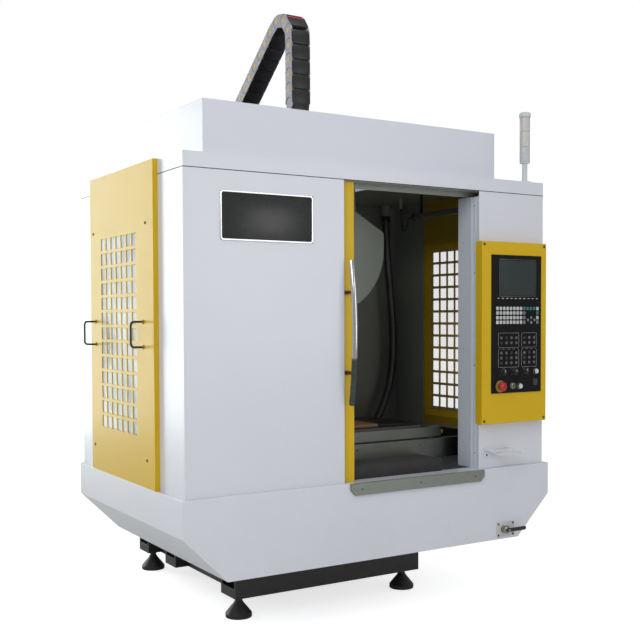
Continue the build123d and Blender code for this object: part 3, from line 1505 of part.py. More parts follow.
with BuildPart() as y_bellows:
    fold_start_y = bellows_front_y + bellows_end_plate
    fold_pitch = (apron_front_y - fold_start_y) / bellows_folds
    fold_bottom_z = apron_z[0] + 4.0
    ridge = [(fold_start_y, fold_bottom_z)]
    for index in range(bellows_folds):
        fold_y = fold_start_y + index * fold_pitch
        ridge.append((fold_y + fold_pitch / 2, fold_bottom_z + bellows_rise))
        ridge.append((fold_y + fold_pitch, fold_bottom_z))
    underside = [(y, z - bellows_skin * 2) for y, z in reversed(ridge)]
    with BuildSketch(Plane.YZ.offset(-bellows_half)):
        with BuildLine():
            Polyline(*ridge, *underside, close=True)
        make_face()
    extrude(amount=2 * bellows_half)
    plate_y = (bellows_front_y, bellows_front_y + bellows_end_plate)
    block((-bellows_half, bellows_half), plate_y, (wall_bottom_z, fold_bottom_z + bellows_rise))
y_bellows.part.label = "y_bellows"
export_step(y_bellows.part, "parts/y_bellows.step")

# Electrical cabinet on the column's back, with a mounting plate and drive modules inside
cabinet_half = 340.0
cabinet_z = (440.0, 1900.0)
cabinet_sheet = 3.0
cabinet_lip = 25.0
module_count = 4
module_size = (90.0, 150.0, 320.0)
module_pitch = 130.0

hinge_places_z = (cabinet_z[0] + 120.0, (cabinet_z[0] + cabinet_z[1]) / 2, cabinet_z[1] - 120.0)
hinge_radius = 6.0
hinge_pin = 3.0
hinge_half = 30.0
hinge_knuckle = 10.0
hinge_leaf = 3.0
hinge_leaf_reach = 45.0
hinge_axis = (-cabinet_half, cabinet_back_y + cabinet_door_depth)

with BuildPart() as electrical_cabinet:
    block((-cabinet_half, cabinet_half), (column_back_y, cabinet_back_y), cabinet_z)
    hollow_x = (-cabinet_half + cabinet_sheet, cabinet_half - cabinet_sheet)
    hollow_z = (cabinet_z[0] + cabinet_sheet, cabinet_z[1] - cabinet_sheet)
    hollow_y = (column_back_y + cabinet_sheet, cabinet_back_y - cabinet_sheet)
    block(hollow_x, hollow_y, hollow_z, Mode.SUBTRACT)
    mouth_x = (-cabinet_half + cabinet_lip, cabinet_half - cabinet_lip)
    mouth_z = (cabinet_z[0] + cabinet_lip, cabinet_z[1] - cabinet_lip)
    block(mouth_x, (cabinet_back_y - cabinet_sheet, cabinet_back_y), mouth_z, Mode.SUBTRACT)
    # drive modules in a row on the back plate, with a wider supply under them
    module_y = (column_back_y + cabinet_sheet, column_back_y + cabinet_sheet + module_size[1])
    module_z = cabinet_z[0] + 850.0
    for index in range(module_count):
        module_x = (index - (module_count - 1) / 2) * module_pitch
        x_span = (module_x - module_size[0] / 2, module_x + module_size[0] / 2)
        block(x_span, module_y, (module_z, module_z + module_size[2]))
    supply_half = 180.0
    block((-supply_half, supply_half), module_y, (module_z - 500.0, module_z - 300.0))
    # three lift-off hinges on the left wall: a leaf, a knuckle at each end and the pin through both
    leaf_x = (-cabinet_half - hinge_leaf, -cabinet_half)
    for hinge_z in hinge_places_z:
        block(leaf_x, (cabinet_back_y - hinge_leaf_reach, cabinet_back_y), (hinge_z - hinge_half, hinge_z + hinge_half))
        for end in (-1, 1):
            knuckle_z = (hinge_z + end * hinge_knuckle, hinge_z + end * hinge_half)
            block(leaf_x, (cabinet_back_y, hinge_axis[1]), knuckle_z)
            low_z = min(knuckle_z)
            round_bar((hinge_axis[0], hinge_axis[1], low_z), (0, 0, 1), hinge_radius, hinge_half - hinge_knuckle)
        pin_start = (hinge_axis[0], hinge_axis[1], hinge_z - hinge_half)
        round_bar(pin_start, (0, 0, 1), hinge_pin, 2 * hinge_half)
electrical_cabinet.part.label = "electrical_cabinet"
export_step(electrical_cabinet.part, "parts/electrical_cabinet.step")

# Cabinet door: a hinged pan with louvres; the main switch sits on it
door_edge_gap = 2.0
louvre_count = 7
louvre_pitch = 22.0
louvre_size = (240.0, 6.0)
main_switch_place = (200.0, 1450.0)
main_switch_radius = 28.0
switch_plate = (80.0, 80.0, 4.0)

with BuildPart() as cabinet_door:
    cabinet_door_y = (cabinet_back_y + slide_gap, cabinet_back_y + cabinet_door_depth)
    cabinet_door_half = cabinet_half - door_edge_gap
    door_span_z = (cabinet_z[0] + door_edge_gap, cabinet_z[1] - door_edge_gap)
    block((-cabinet_door_half, cabinet_door_half), cabinet_door_y, door_span_z)
    hollow_half = cabinet_door_half - cabinet_sheet
    hollow_z = (door_span_z[0] + cabinet_sheet, door_span_z[1] - cabinet_sheet)
    hollow_y = (cabinet_door_y[0], cabinet_door_y[1] - cabinet_sheet)
    block((-hollow_half, hollow_half), hollow_y, hollow_z, Mode.SUBTRACT)
    louvre_plane = Plane(origin=(0, cabinet_door_y[1], 0), x_dir=(-1, 0, 0), z_dir=(0, 1, 0))
    with BuildSketch(louvre_plane):
        for centre_z in (cabinet_z[0] + 180.0, cabinet_z[1] - 180.0):
            with Locations((0, centre_z)):
                with GridLocations(1, louvre_pitch, 1, louvre_count):
                    Rectangle(*louvre_size)
    extrude(amount=-cabinet_sheet, mode=Mode.SUBTRACT)
    plate_x = (main_switch_place[0] - switch_plate[0] / 2, main_switch_place[0] + switch_plate[0] / 2)
    plate_z = (main_switch_place[1] - switch_plate[1] / 2, main_switch_place[1] + switch_plate[1] / 2)
    block(plate_x, (cabinet_door_y[1], cabinet_door_y[1] + switch_plate[2]), plate_z)
    bore_start = (main_switch_place[0], cabinet_door_y[1] - cabinet_sheet, main_switch_place[1])
    bore_length = cabinet_sheet + switch_plate[2]
    round_bar(bore_start, (0, 1, 0), control_bore, bore_length, Mode.SUBTRACT)
    # the door's knuckles sit between the frame's, and its corner is notched around those
    for hinge_z in hinge_places_z:
        for end in (-1, 1):
            notch_z = (hinge_z + end * (hinge_knuckle - slide_gap), hinge_z + end * (hinge_half + slide_gap))
            notch_start = (hinge_axis[0], hinge_axis[1], min(notch_z))
            notch_height = hinge_half - hinge_knuckle + 2 * slide_gap
            round_bar(notch_start, (0, 0, 1), hinge_radius + slide_gap, notch_height, Mode.SUBTRACT)
        knuckle_start = (hinge_axis[0], hinge_axis[1], hinge_z - hinge_knuckle + slide_gap)
        knuckle_height = 2 * (hinge_knuckle - slide_gap)
        round_bar(knuckle_start, (0, 0, 1), hinge_radius, knuckle_height)
        round_bar(knuckle_start, (0, 0, 1), hinge_pin + running_gap, knuckle_height, Mode.SUBTRACT)
cabinet_door.part.label = "cabinet_door"
export_step(cabinet_door.part, "parts/cabinet_door.step")

with BuildPart() as main_switch:
    switch_face_y = cabinet_door_y[1] + switch_plate[2] + running_gap
    switch_x, switch_z = main_switch_place
    stem_start = (switch_x, switch_face_y, switch_z)
    stem_length = switch_face_y - cabinet_door_y[1] + cabinet_sheet
    round_bar(stem_start, (0, -1, 0), stem_radius, stem_length)
    disc_height = (cabinet_back_y + cabinet_door_depth + switch_reach - switch_face_y) / 2
    round_bar(stem_start, (0, 1, 0), main_switch_radius, disc_height)
    grip_y = (switch_face_y + disc_height, switch_face_y + 2 * disc_height)
    grip_half = 7.0
    grip_x = (switch_x - grip_half, switch_x + grip_half)
    grip_z = (switch_z - main_switch_radius, switch_z + main_switch_radius)
    block(grip_x, grip_y, grip_z)
main_switch.part.label = "main_switch"
export_step(main_switch.part, "parts/main_switch.step")

# Panel screws: the same button-head screw on the side panels, the control box and the nameplate
screw_head_radius = 6.0
screw_head_height = 3.0
panel_screw_y = (front_y + 300.0, front_y + 886.0)
panel_screw_z = (1588.0, 700.0)
box_screw_inset = 13.0

with BuildPart() as panel_screws:
    for side in (-1, 1):
        for screw_y in panel_screw_y:
            for screw_z in panel_screw_z:
                start = (side * (side_x + panel_proud), screw_y, screw_z)
                round_bar(start, (side, 0, 0), screw_head_radius, screw_head_height)
    for screw_x in (control_x[0] + box_screw_inset, control_x[1] - box_screw_inset):
        for screw_z in (control_z[0] + box_screw_inset, control_z[1] - box_screw_inset):
            round_bar((screw_x, control_front_y, screw_z), (0, -1, 0), screw_head_radius, screw_head_height)
panel_screws.part.label = "panel_screws"
export_step(panel_screws.part, "parts/panel_screws.step")
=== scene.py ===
import json

import bmesh
import bpy
from math import cos, hypot, pi, radians, sin
from mathutils import Matrix, Vector
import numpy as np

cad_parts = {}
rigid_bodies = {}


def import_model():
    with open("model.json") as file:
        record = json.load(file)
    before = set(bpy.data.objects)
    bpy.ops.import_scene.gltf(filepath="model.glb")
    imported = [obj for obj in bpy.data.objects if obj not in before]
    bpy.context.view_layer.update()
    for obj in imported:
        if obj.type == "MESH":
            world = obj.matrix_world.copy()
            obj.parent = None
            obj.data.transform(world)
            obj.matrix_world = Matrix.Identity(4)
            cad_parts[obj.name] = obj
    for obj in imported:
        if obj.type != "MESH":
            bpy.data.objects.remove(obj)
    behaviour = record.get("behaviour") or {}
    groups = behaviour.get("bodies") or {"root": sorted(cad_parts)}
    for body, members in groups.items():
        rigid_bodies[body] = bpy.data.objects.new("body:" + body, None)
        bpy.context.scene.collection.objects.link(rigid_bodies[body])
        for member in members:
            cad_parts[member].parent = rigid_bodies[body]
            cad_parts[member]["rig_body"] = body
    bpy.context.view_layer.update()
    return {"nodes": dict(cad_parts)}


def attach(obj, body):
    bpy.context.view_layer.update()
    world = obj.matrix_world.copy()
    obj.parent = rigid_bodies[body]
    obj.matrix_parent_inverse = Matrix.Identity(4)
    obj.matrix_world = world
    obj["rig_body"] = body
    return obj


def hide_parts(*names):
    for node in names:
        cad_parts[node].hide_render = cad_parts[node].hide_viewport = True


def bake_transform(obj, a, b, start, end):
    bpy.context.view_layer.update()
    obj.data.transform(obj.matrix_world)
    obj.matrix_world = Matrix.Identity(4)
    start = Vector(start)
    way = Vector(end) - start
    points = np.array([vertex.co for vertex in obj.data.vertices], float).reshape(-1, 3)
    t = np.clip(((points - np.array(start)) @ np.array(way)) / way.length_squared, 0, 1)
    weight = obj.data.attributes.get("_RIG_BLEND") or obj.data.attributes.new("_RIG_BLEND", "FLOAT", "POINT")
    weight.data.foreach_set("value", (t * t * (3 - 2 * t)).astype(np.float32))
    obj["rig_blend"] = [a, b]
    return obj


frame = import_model()

# Levelling feet
# Four cast bells on M24 studs, turned and painted black, each held by a zinc lock nut on the bed's lug.


class Socket:
    """An output socket that takes part in Python arithmetic: each operator adds its own Math node."""

    def __init__(self, nodes, socket):
        self.nodes = nodes
        self.socket = socket

    def math(self, operation, *values):
        settings = {"operation": operation}
        return self.nodes.node("ShaderNodeMath", settings, dict(enumerate(values)))

    def __add__(self, other):
        return self.math("ADD", self, other)

    def __sub__(self, other):
        return self.math("SUBTRACT", self, other)

    def __rsub__(self, other):
        return self.math("SUBTRACT", other, self)

    def __mul__(self, other):
        return self.math("MULTIPLY", self, other)

    def __gt__(self, other):
        return self.math("GREATER_THAN", self, other)

    def __lt__(self, other):
        return self.math("LESS_THAN", self, other)

    __radd__ = __add__
    __rmul__ = __mul__

    def ramp(self, low, high):
        """0 below low, 1 above high, and a smooth rise between them."""
        settings = {"interpolation_type": "SMOOTHSTEP"}
        return self.nodes.node("ShaderNodeMapRange", settings, {0: self, 1: low, 2: high, 3: 0.0, 4: 1.0})


class Nodes:
    """A node tree under construction, for a finish or for a shape that repeats."""

    def __init__(self, tree):
        self.tree = tree
        self.group_input = None

    def node(self, kind, settings=None, values=None, out=0):
        """Add one node: its settings first, then the values or links of its sockets."""
        made = self.tree.nodes.new(kind)
        for key, value in (settings or {}).items():
            setattr(made, key, value)
        for key, value in (values or {}).items():
            if isinstance(value, Socket):
                self.tree.links.new(value.socket, made.inputs[key])
            else:
                made.inputs[key].default_value = value
        return Socket(self, made.outputs[out])

    def noise(self, scale, detail=3.0, roughness=0.5, vector=None):
        place = vector or self.node("ShaderNodeTexCoord", out="Object")
        values = {"Vector": place, "Scale": scale, "Detail": detail, "Roughness": roughness}
        return self.node("ShaderNodeTexNoise", {"noise_dimensions": "3D"}, values)

    def stretched(self, scale):
        """Object coordinates stretched by three factors, for brushed and rolled surfaces."""
        place = self.node("ShaderNodeTexCoord", out="Object")
        return self.node("ShaderNodeMapping", None, {"Vector": place, "Scale": scale})

    def height(self):
        place = self.node("ShaderNodeTexCoord", out="Object")
        return self.node("ShaderNodeSeparateXYZ", None, {0: place}, out=2)

    def mix(self, factor, first, second):
        """A colour between two colours."""
        values = {0: factor, 6: first, 7: second}
        return self.node("ShaderNodeMix", {"data_type": "RGBA"}, values, out=2)

    def bump(self, height, distance, strength=1.0):
        values = {"Height": height, "Distance": distance, "Strength": strength}
        return self.node("ShaderNodeBump", None, values)

    def input(self, name, kind, default=None):
        """A named input of the shape's tree."""
        socket = self.tree.interface.new_socket(name, in_out="INPUT", socket_type=kind)
        if default is not None:
            socket.default_value = default
        if self.group_input is None:
            self.group_input = self.tree.nodes.new("NodeGroupInput")
        return Socket(self, self.group_input.outputs[name])

    def output(self, kind, result):
        """End the tree: its result goes into an output node of this kind."""
        self.tree.links.new(result.socket, self.tree.nodes.new(kind).inputs[0])

    def finish_shape(self, geometry, material):
        """End a shape's tree: real copies with their finish."""
        real = self.node("GeometryNodeRealizeInstances", None, {0: geometry})
        painted = self.node("GeometryNodeSetMaterial", None, {0: real, 2: material})
        self.tree.interface.new_socket("Geometry", in_out="OUTPUT", socket_type="NodeSocketGeometry")
        self.output("NodeGroupOutput", painted)


def shade(colour, alpha=1.0):
    return (*colour, alpha)


def tint(colour, factor):
    return tuple(min(1.0, channel * factor) for channel in colour)


def empty_tree(owner):
    """The node tree of a material or a world, cleared."""
    owner.use_nodes = True
    owner.node_tree.nodes.clear()
    return Nodes(owner.node_tree)


def surface(name, values):
    """A finish whose tree is built by the function values(nodes), which gives the shader's sockets."""
    material = bpy.data.materials.new(name)
    nodes = empty_tree(material)
    nodes.output("ShaderNodeOutputMaterial", nodes.node("ShaderNodeBsdfPrincipled", None, values(nodes)))
    return material


def casting(name, colour, grain=90.0, rough=0.5, depth=0.0006):
    """Painted iron casting: sand-cast grain under the paint, with thin spots and dust."""

    def values(nodes):
        grit = nodes.noise(grain, 4.0, 0.6)
        cloud = nodes.noise(3.0, 4.0)
        base = nodes.mix(cloud, shade(tint(colour, 0.8)), shade(tint(colour, 1.3)))
        return {
            "Base Color": nodes.mix(grit.ramp(0.55, 0.8) * 0.35, base, shade(tint(colour, 2.0))),
            "Roughness": rough + (cloud - 0.5) * 0.25 + (grit - 0.5) * 0.1,
            "Metallic": 0.0,
            "Normal": nodes.bump(grit, depth),
        }

    return surface(name, values)


def mesh_of(name, solid):
    """A mesh with what was built in a bmesh, which is freed."""
    mesh = bpy.data.meshes.new(name)
    solid.to_mesh(mesh)
    solid.free()
    return mesh


def linked(name, data):
    """An object of the scene with this mesh, curve, light or camera."""
    made = bpy.data.objects.new(name, data)
    bpy.context.scene.collection.objects.link(made)
    return made


def applied(holder):
    """The plain mesh that an object's modifier makes; the object itself is removed."""
    graph = bpy.context.evaluated_depsgraph_get()
    made = bpy.data.meshes.new_from_object(holder.evaluated_get(graph), depsgraph=graph)
    bpy.data.objects.remove(holder)
    return made


def smooth(mesh, sharp):
    """Shade a mesh smooth between the edges that are sharper than an angle in degrees."""
    mesh.polygons.foreach_set("use_smooth", [True] * len(mesh.polygons))
    mesh.set_sharp_from_angle(angle=radians(sharp))


def piece(name, mesh, body, replaced=(), finish=None, sharp=35.0):
    """Link a mesh as a piece, shade it smooth between its sharp edges and let it ride on its body."""
    if isinstance(mesh, bmesh.types.BMesh):
        mesh = mesh_of(name, mesh)
    if finish is not None:
        mesh.materials.clear()
        mesh.materials.append(finish)
    smooth(mesh, sharp)
    made = linked(name, mesh)
    if replaced:
        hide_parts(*replaced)
    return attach(made, body)


def grow(name, points, tree, sizes, edges=()):
    """Run a shape's tree on points or edges, with its inputs set by name, and give the plain mesh."""
    mesh = bpy.data.meshes.new(name)
    mesh.from_pydata([tuple(point) for point in points], edges, [])
    holder = linked(name, mesh)
    modifier = holder.modifiers.new(name, "NODES")
    modifier.node_group = tree
    for item in tree.interface.items_tree:
        if item.item_type == "SOCKET" and item.in_out == "INPUT" and item.name in sizes:
            modifier[item.identifier] = sizes[item.name]
    return applied(holder)


def bridge(solid, rings, ends=False):
    """Faces between each ring and the next and, if asked, across the first and the last one."""
    for lower, upper in zip(rings, rings[1:]):
        for step in range(len(lower)):
            after = (step + 1) % len(lower)
            solid.faces.new((lower[step], lower[after], upper[after], upper[step]))
    if ends:
        solid.faces.new(rings[0][::-1])
        solid.faces.new(rings[-1])


def weld(solid, distance=0.00002):
    """Merge the vertices that lie within a distance of each other."""
    bmesh.ops.remove_doubles(solid, verts=solid.verts, dist=distance)


def arc(centre, radius, first, span, steps):
    """Points on an arc in a plane; it starts at the angle first and covers a span, both in degrees."""
    turns = [radians(first + span * step / steps) for step in range(steps + 1)]
    return [(centre[0] + radius * cos(turn), centre[1] + radius * sin(turn)) for turn in turns]


def lathe(solid, profile, base, axis, steps=40):
    """Turn a profile of (radius, height) pairs about an axis, from its lower pole to its upper one."""
    axis = Vector(axis).normalized()
    across = axis.orthogonal().normalized()
    along = axis.cross(across)
    turns = [2 * pi * step / steps for step in range(steps)]
    rings = []
    for radius, height in profile:
        centre = Vector(base) + axis * height
        if radius == 0:
            rings.append([solid.verts.new(centre)])
        else:
            sizes = [radius(t) if callable(radius) else radius for t in turns]
            ring = [centre + (across * cos(t) + along * sin(t)) * size for t, size in zip(turns, sizes)]
            rings.append([solid.verts.new(point) for point in ring])
    for lower, upper in zip(rings, rings[1:]):
        for step in range(steps):
            after = (step + 1) % steps
            if len(lower) == 1:
                solid.faces.new((lower[0], upper[after], upper[step]))
            elif len(upper) == 1:
                solid.faces.new((lower[step], lower[after], upper[0]))
            else:
                solid.faces.new((lower[step], lower[after], upper[after], upper[step]))


def prism(solid, sides, radius, base, axis, height, edge):
    """A bar with flat sides, such as a nut, whose ends are chamfered."""
    inner = radius - edge
    profile = [(0, 0), (inner, 0), (radius, edge), (radius, height - edge), (inner, height), (0, height)]
    lathe(solid, profile, base, axis, sides)


def hidden(name, solid):
    """A shape that is only copied by a shape's tree and isn't shown itself."""
    return bpy.data.objects.new(name, mesh_of(name, solid))


def copies_tree(name):
    """A shape's tree that puts a copy of one shape on each point, turned and sized."""
    nodes = Nodes(bpy.data.node_groups.new(name, "GeometryNodeTree"))
    points = nodes.input("Geometry", "NodeSocketGeometry")
    shape = nodes.input("Shape", "NodeSocketObject")
    turn = nodes.input("Turn", "NodeSocketVector", (0.0, 0.0, 0.0))
    size = nodes.input("Size", "NodeSocketFloat", 1.0)
    material = nodes.input("Finish", "NodeSocketMaterial")
    scattered = nodes.node("GeometryNodeMeshToPoints", {"mode": "VERTICES"}, {0: points})
    shaped = nodes.node("GeometryNodeObjectInfo", {"transform_space": "ORIGINAL"}, {0: shape}, out="Geometry")
    turned = nodes.node("FunctionNodeEulerToRotation", None, {0: turn})
    values = {"Points": scattered, "Instance": shaped, "Rotation": turned, "Scale": size}
    nodes.finish_shape(nodes.node("GeometryNodeInstanceOnPoints", None, values), material)
    return nodes.tree


copies = copies_tree("copies_at_points")
base_body = "machine_base"
black_casting = casting("black_casting_paint", (0.02, 0.02, 0.021), rough=0.42)
foot_places = [(x, y, 0.0) for x in (-0.416, 0.416) for y in (-0.415, 0.515)]
bell = bmesh.new()
bell_profile = [
    (0.0, 0.0),
    (0.053, 0.0),
    (0.055, 0.002),
    (0.055, 0.0165),
    (0.0535, 0.0185),
    (0.0335, 0.0435),
    (0.0225, 0.0565),
    (0.0165, 0.0665),
    (0.015, 0.0700),
    (0.015, 0.0890),
    (0.012, 0.0900),
    (0.012, 0.1570),
    (0.0105, 0.1590),
    (0.0, 0.1590),
]
lathe(bell, bell_profile, (0, 0, 0), (0, 0, 1), 48)
prism(bell, 6, 0.0207, (0, 0, 0.1301), (0, 0, 1), 0.0178, 0.0015)
bell_shape = hidden("bell_shape", bell)
feet_mesh = grow("leveling_feet_turned", foot_places, copies, {"Shape": bell_shape, "Finish": black_casting})
piece("leveling_feet_turned", feet_mesh, base_body, ["leveling_feet"])

# Sheet-metal cabin
# The tray, side and rear guards, roof and door post are folded from 3 mm steel, welded at the corners,
# with every edge broken and a cool white baked enamel. Inside the cabin the walls are painted a darker grey
# as painted shade, and the right one has a yellow lining, darkened as painted shade.
white_colour = (0.70, 0.72, 0.79)
yellow_colour = (0.68, 0.44, 0.010)
inner_half, inner_y, inner_z = 0.8488, (-0.8638, 0.2338), (0.5962, 1.8145)
lining_x, lining_y, lining_z = 0.8400, (-0.5200, -0.0200), 0.7000


def enamel(name, colour, rough=0.32, coat=0.5, inner=None, dirt=0.12, specular=0.5):
    """Baked enamel with orange peel, faint clouding and dust low down.

    inner is a darker colour within the cabin, painted shade; with it comes the right wall's yellow lining,
    darkened as painted shade."""

    def values(nodes):
        peel = nodes.noise(420.0, 2.0, 0.4)
        cloud = nodes.noise(1.7, 3.0)
        smear = nodes.noise(14.0, 5.0, 0.65)
        base = nodes.mix(cloud, shade(tint(colour, 0.95)), shade(tint(colour, 1.04)))
        base = nodes.mix(smear.ramp(0.62, 0.8) * dirt, base, shade(tint(colour, 0.72)))
        low = 1.0 - nodes.height().ramp(0.28, 0.75)
        base = nodes.mix(low * smear * dirt, base, (0.3, 0.28, 0.24, 1.0))
        # Painted shade: within the cabin the walls take the darker inner colour, and the yellow lining is
        # darkened.
        if inner is not None:
            place = nodes.node("ShaderNodeTexCoord", out="Object")
            x, y, z = [nodes.node("ShaderNodeSeparateXYZ", None, {0: place}, out=axis) for axis in range(3)]
            within = (x.math("ABSOLUTE", x) < inner_half) * (y > inner_y[0]) * (y < inner_y[1])
            within = within * (z < inner_z[1]) * (z > inner_z[0])
            base = nodes.mix(within, base, shade(inner))
            lining = within * (x > lining_x) * (y > lining_y[0]) * (y < lining_y[1]) * (z > lining_z)
            base = nodes.mix(lining, base, shade(tint(yellow_colour, 0.6)))
        return {
            "Base Color": base,
            "Roughness": rough + (smear - 0.5) * 0.14,
            "Coat Weight": coat,
            "Coat Roughness": 0.25,
            "Specular IOR Level": specular,
            "Normal": nodes.bump(peel, 0.00012, 0.6),
        }

    return surface(name, values)


def broken_edges(source, width, angle=30.0):
    """A mesh with doubles merged, flats made whole again and each sharp edge broken by a bevel."""
    solid = bmesh.new()
    solid.from_mesh(source)
    weld(solid, 0.00001)
    bmesh.ops.dissolve_limit(solid, angle_limit=radians(0.5), verts=solid.verts, edges=solid.edges)
    holder = linked("walls", mesh_of("walls", solid))
    bevel = holder.modifiers.new("edges", "BEVEL")
    bevel.width = width
    bevel.segments = 2
    bevel.limit_method = "ANGLE"
    bevel.angle_limit = radians(angle)
    bevel.use_clamp_overlap = True
    return applied(holder)


def dressed(node, finish, width=0.0009, sharp=4.0):
    """A piece made from a CAD node's own walls, with its edges broken and its finish on."""
    cad = frame["nodes"][node]
    mesh = broken_edges(cad.data, width)
    return piece(f"{node}_finished", mesh, cad["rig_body"], [node], finish, sharp)


# inner is the painted shade of the cabin's inside walls.
white_enamel = enamel("white_enamel", white_colour, inner=(0.25, 0.27, 0.235))
for node in ("base_tray", "left_guard", "right_guard", "rear_guard", "roof_cap", "roof_box"):
    dressed(node, white_enamel)
post_enamel = enamel("post_enamel", (0.62, 0.68, 0.76), rough=0.38)
dressed("door_post", post_enamel)

# Roof seam
# A black rubber bead closes the seam where the roof cap's skirt sits on the walls.


def box(solid, low, high, edge=0.0):
    """A block between two corners; edge breaks all twelve of its edges."""
    low, high = Vector(low), Vector(high)
    matrix = Matrix.Translation((low + high) / 2) @ Matrix.Diagonal((*(high - low), 1.0))
    made = bmesh.ops.create_cube(solid, size=1.0, matrix=matrix)
    if edge:
        edges = {each for vert in made["verts"] for each in vert.link_edges}
        bmesh.ops.bevel(solid, geom=list(edges), offset=edge, segments=2, profile=0.5, affect="EDGES")


def bars_round(solid, xs, ys, zs, half, edge):
    """Four bars along the sides of an upright rectangle, each reaching half its width to both sides."""
    for z in zs:
        box(solid, (xs[0], ys[0], z - half), (xs[1], ys[1], z + half), edge)
    for x in xs:
        box(solid, (x - half, ys[0], zs[0]), (x + half, ys[1], zs[1]), edge)


def rubber(name, colour=(0.018, 0.018, 0.019), rough=0.62):
    """Moulded rubber with a fine grain and a faint bloom."""

    def values(nodes):
        grain = nodes.noise(700.0, 3.0)
        bloom = nodes.noise(11.0, 4.0, 0.6)
        return {
            "Base Color": nodes.mix(bloom.ramp(0.45, 0.8) * 0.5, shade(colour), shade(tint(colour, 2.6))),
            "Roughness": rough + (bloom - 0.5) * 0.2,
            "Normal": nodes.bump(grain, 0.0001, 0.5),
        }

    return surface(name, values)


black_rubber = rubber("black_rubber_finish")
seam = bmesh.new()
seam_z = (1.7590, 1.7618)
box(seam, (-0.8507, -0.8655, seam_z[0]), (-0.8494, 0.2340, seam_z[1]), 0.0004)
box(seam, (0.8494, -0.8655, seam_z[0]), (0.8507, 0.2340, seam_z[1]), 0.0004)
box(seam, (-0.8507, -0.8657, seam_z[0]), (0.8507, -0.8644, seam_z[1]), 0.0004)
piece("roof_seam_bead", seam, base_body, (), black_rubber)

# Side panels, yellow
# Shallow pans of pressed steel screwed over the side windows, pierced by a grid of square openings
# and baked in a warm yellow enamel; the window light gives the left one a whitish gloss.
yellow_enamel = enamel("yellow_enamel", yellow_colour, rough=0.34, coat=0.06, dirt=0.1, specular=0.22)
for node in ("left_side_panel", "right_side_panel"):
    dressed(node, yellow_enamel, 0.0007)

# Side windows
# Clear polycarbonate panes lie behind the grids, scuffed by cleaning; the left one is made paler and more
# opaque as a painted sheen.


def clear(name, colour, alpha, rough=0.08, left_sheen_alpha=None):
    """A clear sheet: part of the light goes straight through, and fine scuffs scatter the rest."""

    def values(nodes):
        scuff = nodes.noise(60.0, 6.0, 0.7, nodes.stretched((1.0, 0.2, 6.0)))
        haze = nodes.noise(5.0, 4.0)
        film_and_sheen = haze * 0.05
        # Left of the middle the pane is made paler and more opaque: a painted sheen.
        if left_sheen_alpha is not None:
            place = nodes.node("ShaderNodeTexCoord", out="Object")
            across = nodes.node("ShaderNodeSeparateXYZ", None, {0: place}, out=0)
            film_and_sheen = film_and_sheen + (across < 0.0) * (left_sheen_alpha + (haze - 0.5) * 0.7)
        return {
            "Base Color": nodes.mix(haze, shade(colour), shade(tint(colour, 1.25))),
            "Roughness": rough + scuff.ramp(0.5, 0.8) * 0.18,
            "Alpha": alpha + scuff.ramp(0.6, 0.85) * 0.12 + film_and_sheen,
            "Normal": nodes.bump(scuff, 0.00002, 0.3),
        }

    material = surface(name, values)
    material.surface_render_method = "BLENDED"
    return material


clear_pane = clear("clear_pane", (0.72, 0.77, 0.80), 0.12, 0.08, 0.34)
dressed("side_windows", clear_pane, 0.0006)

# Sliding door
# A welded frame of folded stiles and rails in the same yellow; the pane is let into a rebate from behind
# with a black rubber section round it.
dressed("door", yellow_enamel, 0.0012)
door_pane = clear("door_pane_sheet", (0.3, 0.33, 0.32), 0.3)
dressed("door_window", door_pane, 0.0008)
gasket = bmesh.new()
bars_round(gasket, (-0.7475, -0.1925), (-0.8335, -0.8305), (0.6860, 1.6660), 0.004, 0.001)
piece("door_gasket", gasket, "door_body", (), black_rubber)

# Door handle
# A bowed round bar in bright nickel on two brass standoffs screwed through the stile;
# its lower third is painted dark green as a painted reflection.


def metal(name, colour, rough=0.28, grain=(1.0, 1.0, 1.0), scale=240.0, depth=0.00003, tarnish=0.25):
    """Bare metal: fine working marks drawn out along one way, and clouds of light tarnish."""

    def values(nodes):
        marks = nodes.noise(scale, 4.0, 0.6, nodes.stretched(grain))
        cloud = nodes.noise(9.0, 5.0, 0.6)
        base = nodes.mix(cloud.ramp(0.4, 0.8) * tarnish, shade(colour), shade(tint(colour, 0.55)))
        return {
            "Base Color": nodes.mix(marks * 0.3, base, shade(tint(colour, 1.2))),
            "Roughness": rough + (marks - 0.5) * 0.22 + (cloud - 0.5) * 0.12,
            "Metallic": 1.0,
            "Normal": nodes.bump(marks, depth, 0.5),
        }

    return surface(name, values)


def sweep(solid, line, radius, steps=24, closed_ends=True):
    """A round bar along a line of points; radius is one value or a function of the share of the way."""
    line = [Vector(point) for point in line]
    last = len(line) - 1
    turns = [2 * pi * step / steps for step in range(steps)]
    rings = []
    across = None
    for index, point in enumerate(line):
        way = (line[min(index + 1, last)] - line[max(index - 1, 0)]).normalized()
        if across is None:
            across = way.orthogonal().normalized()
        else:
            across = (across - way * across.dot(way)).normalized()
        along = way.cross(across)
        size = radius(index / last) if callable(radius) else radius
        rings.append([solid.verts.new(point + (across * cos(t) + along * sin(t)) * size) for t in turns])
    bridge(solid, rings)
    if closed_ends:
        for ring, point, order in ((rings[0], line[0], -1), (rings[-1], line[-1], 1)):
            pole = solid.verts.new(point)
            for step in range(steps):
                corners = (ring[step], ring[(step + 1) % steps], pole)
                solid.faces.new(corners[::order])


handle_x = -0.165
handle_low, handle_high = 0.897, 1.451
handle_middle, handle_half = 1.174, 0.277
bow = (handle_half**2 + 0.023**2) / (2 * 0.023)
door_face = -0.852


def handle_reach(height):
    """How far the bowed bar stands off the stile at a height."""
    return 0.035 + 0.023 - bow + (bow**2 - (height - handle_middle) ** 2) ** 0.5


def handle_line(low, high, count):
    heights = [low + (high - low) * step / count for step in range(count + 1)]
    return [(handle_x, door_face - handle_reach(height), height) for height in heights]


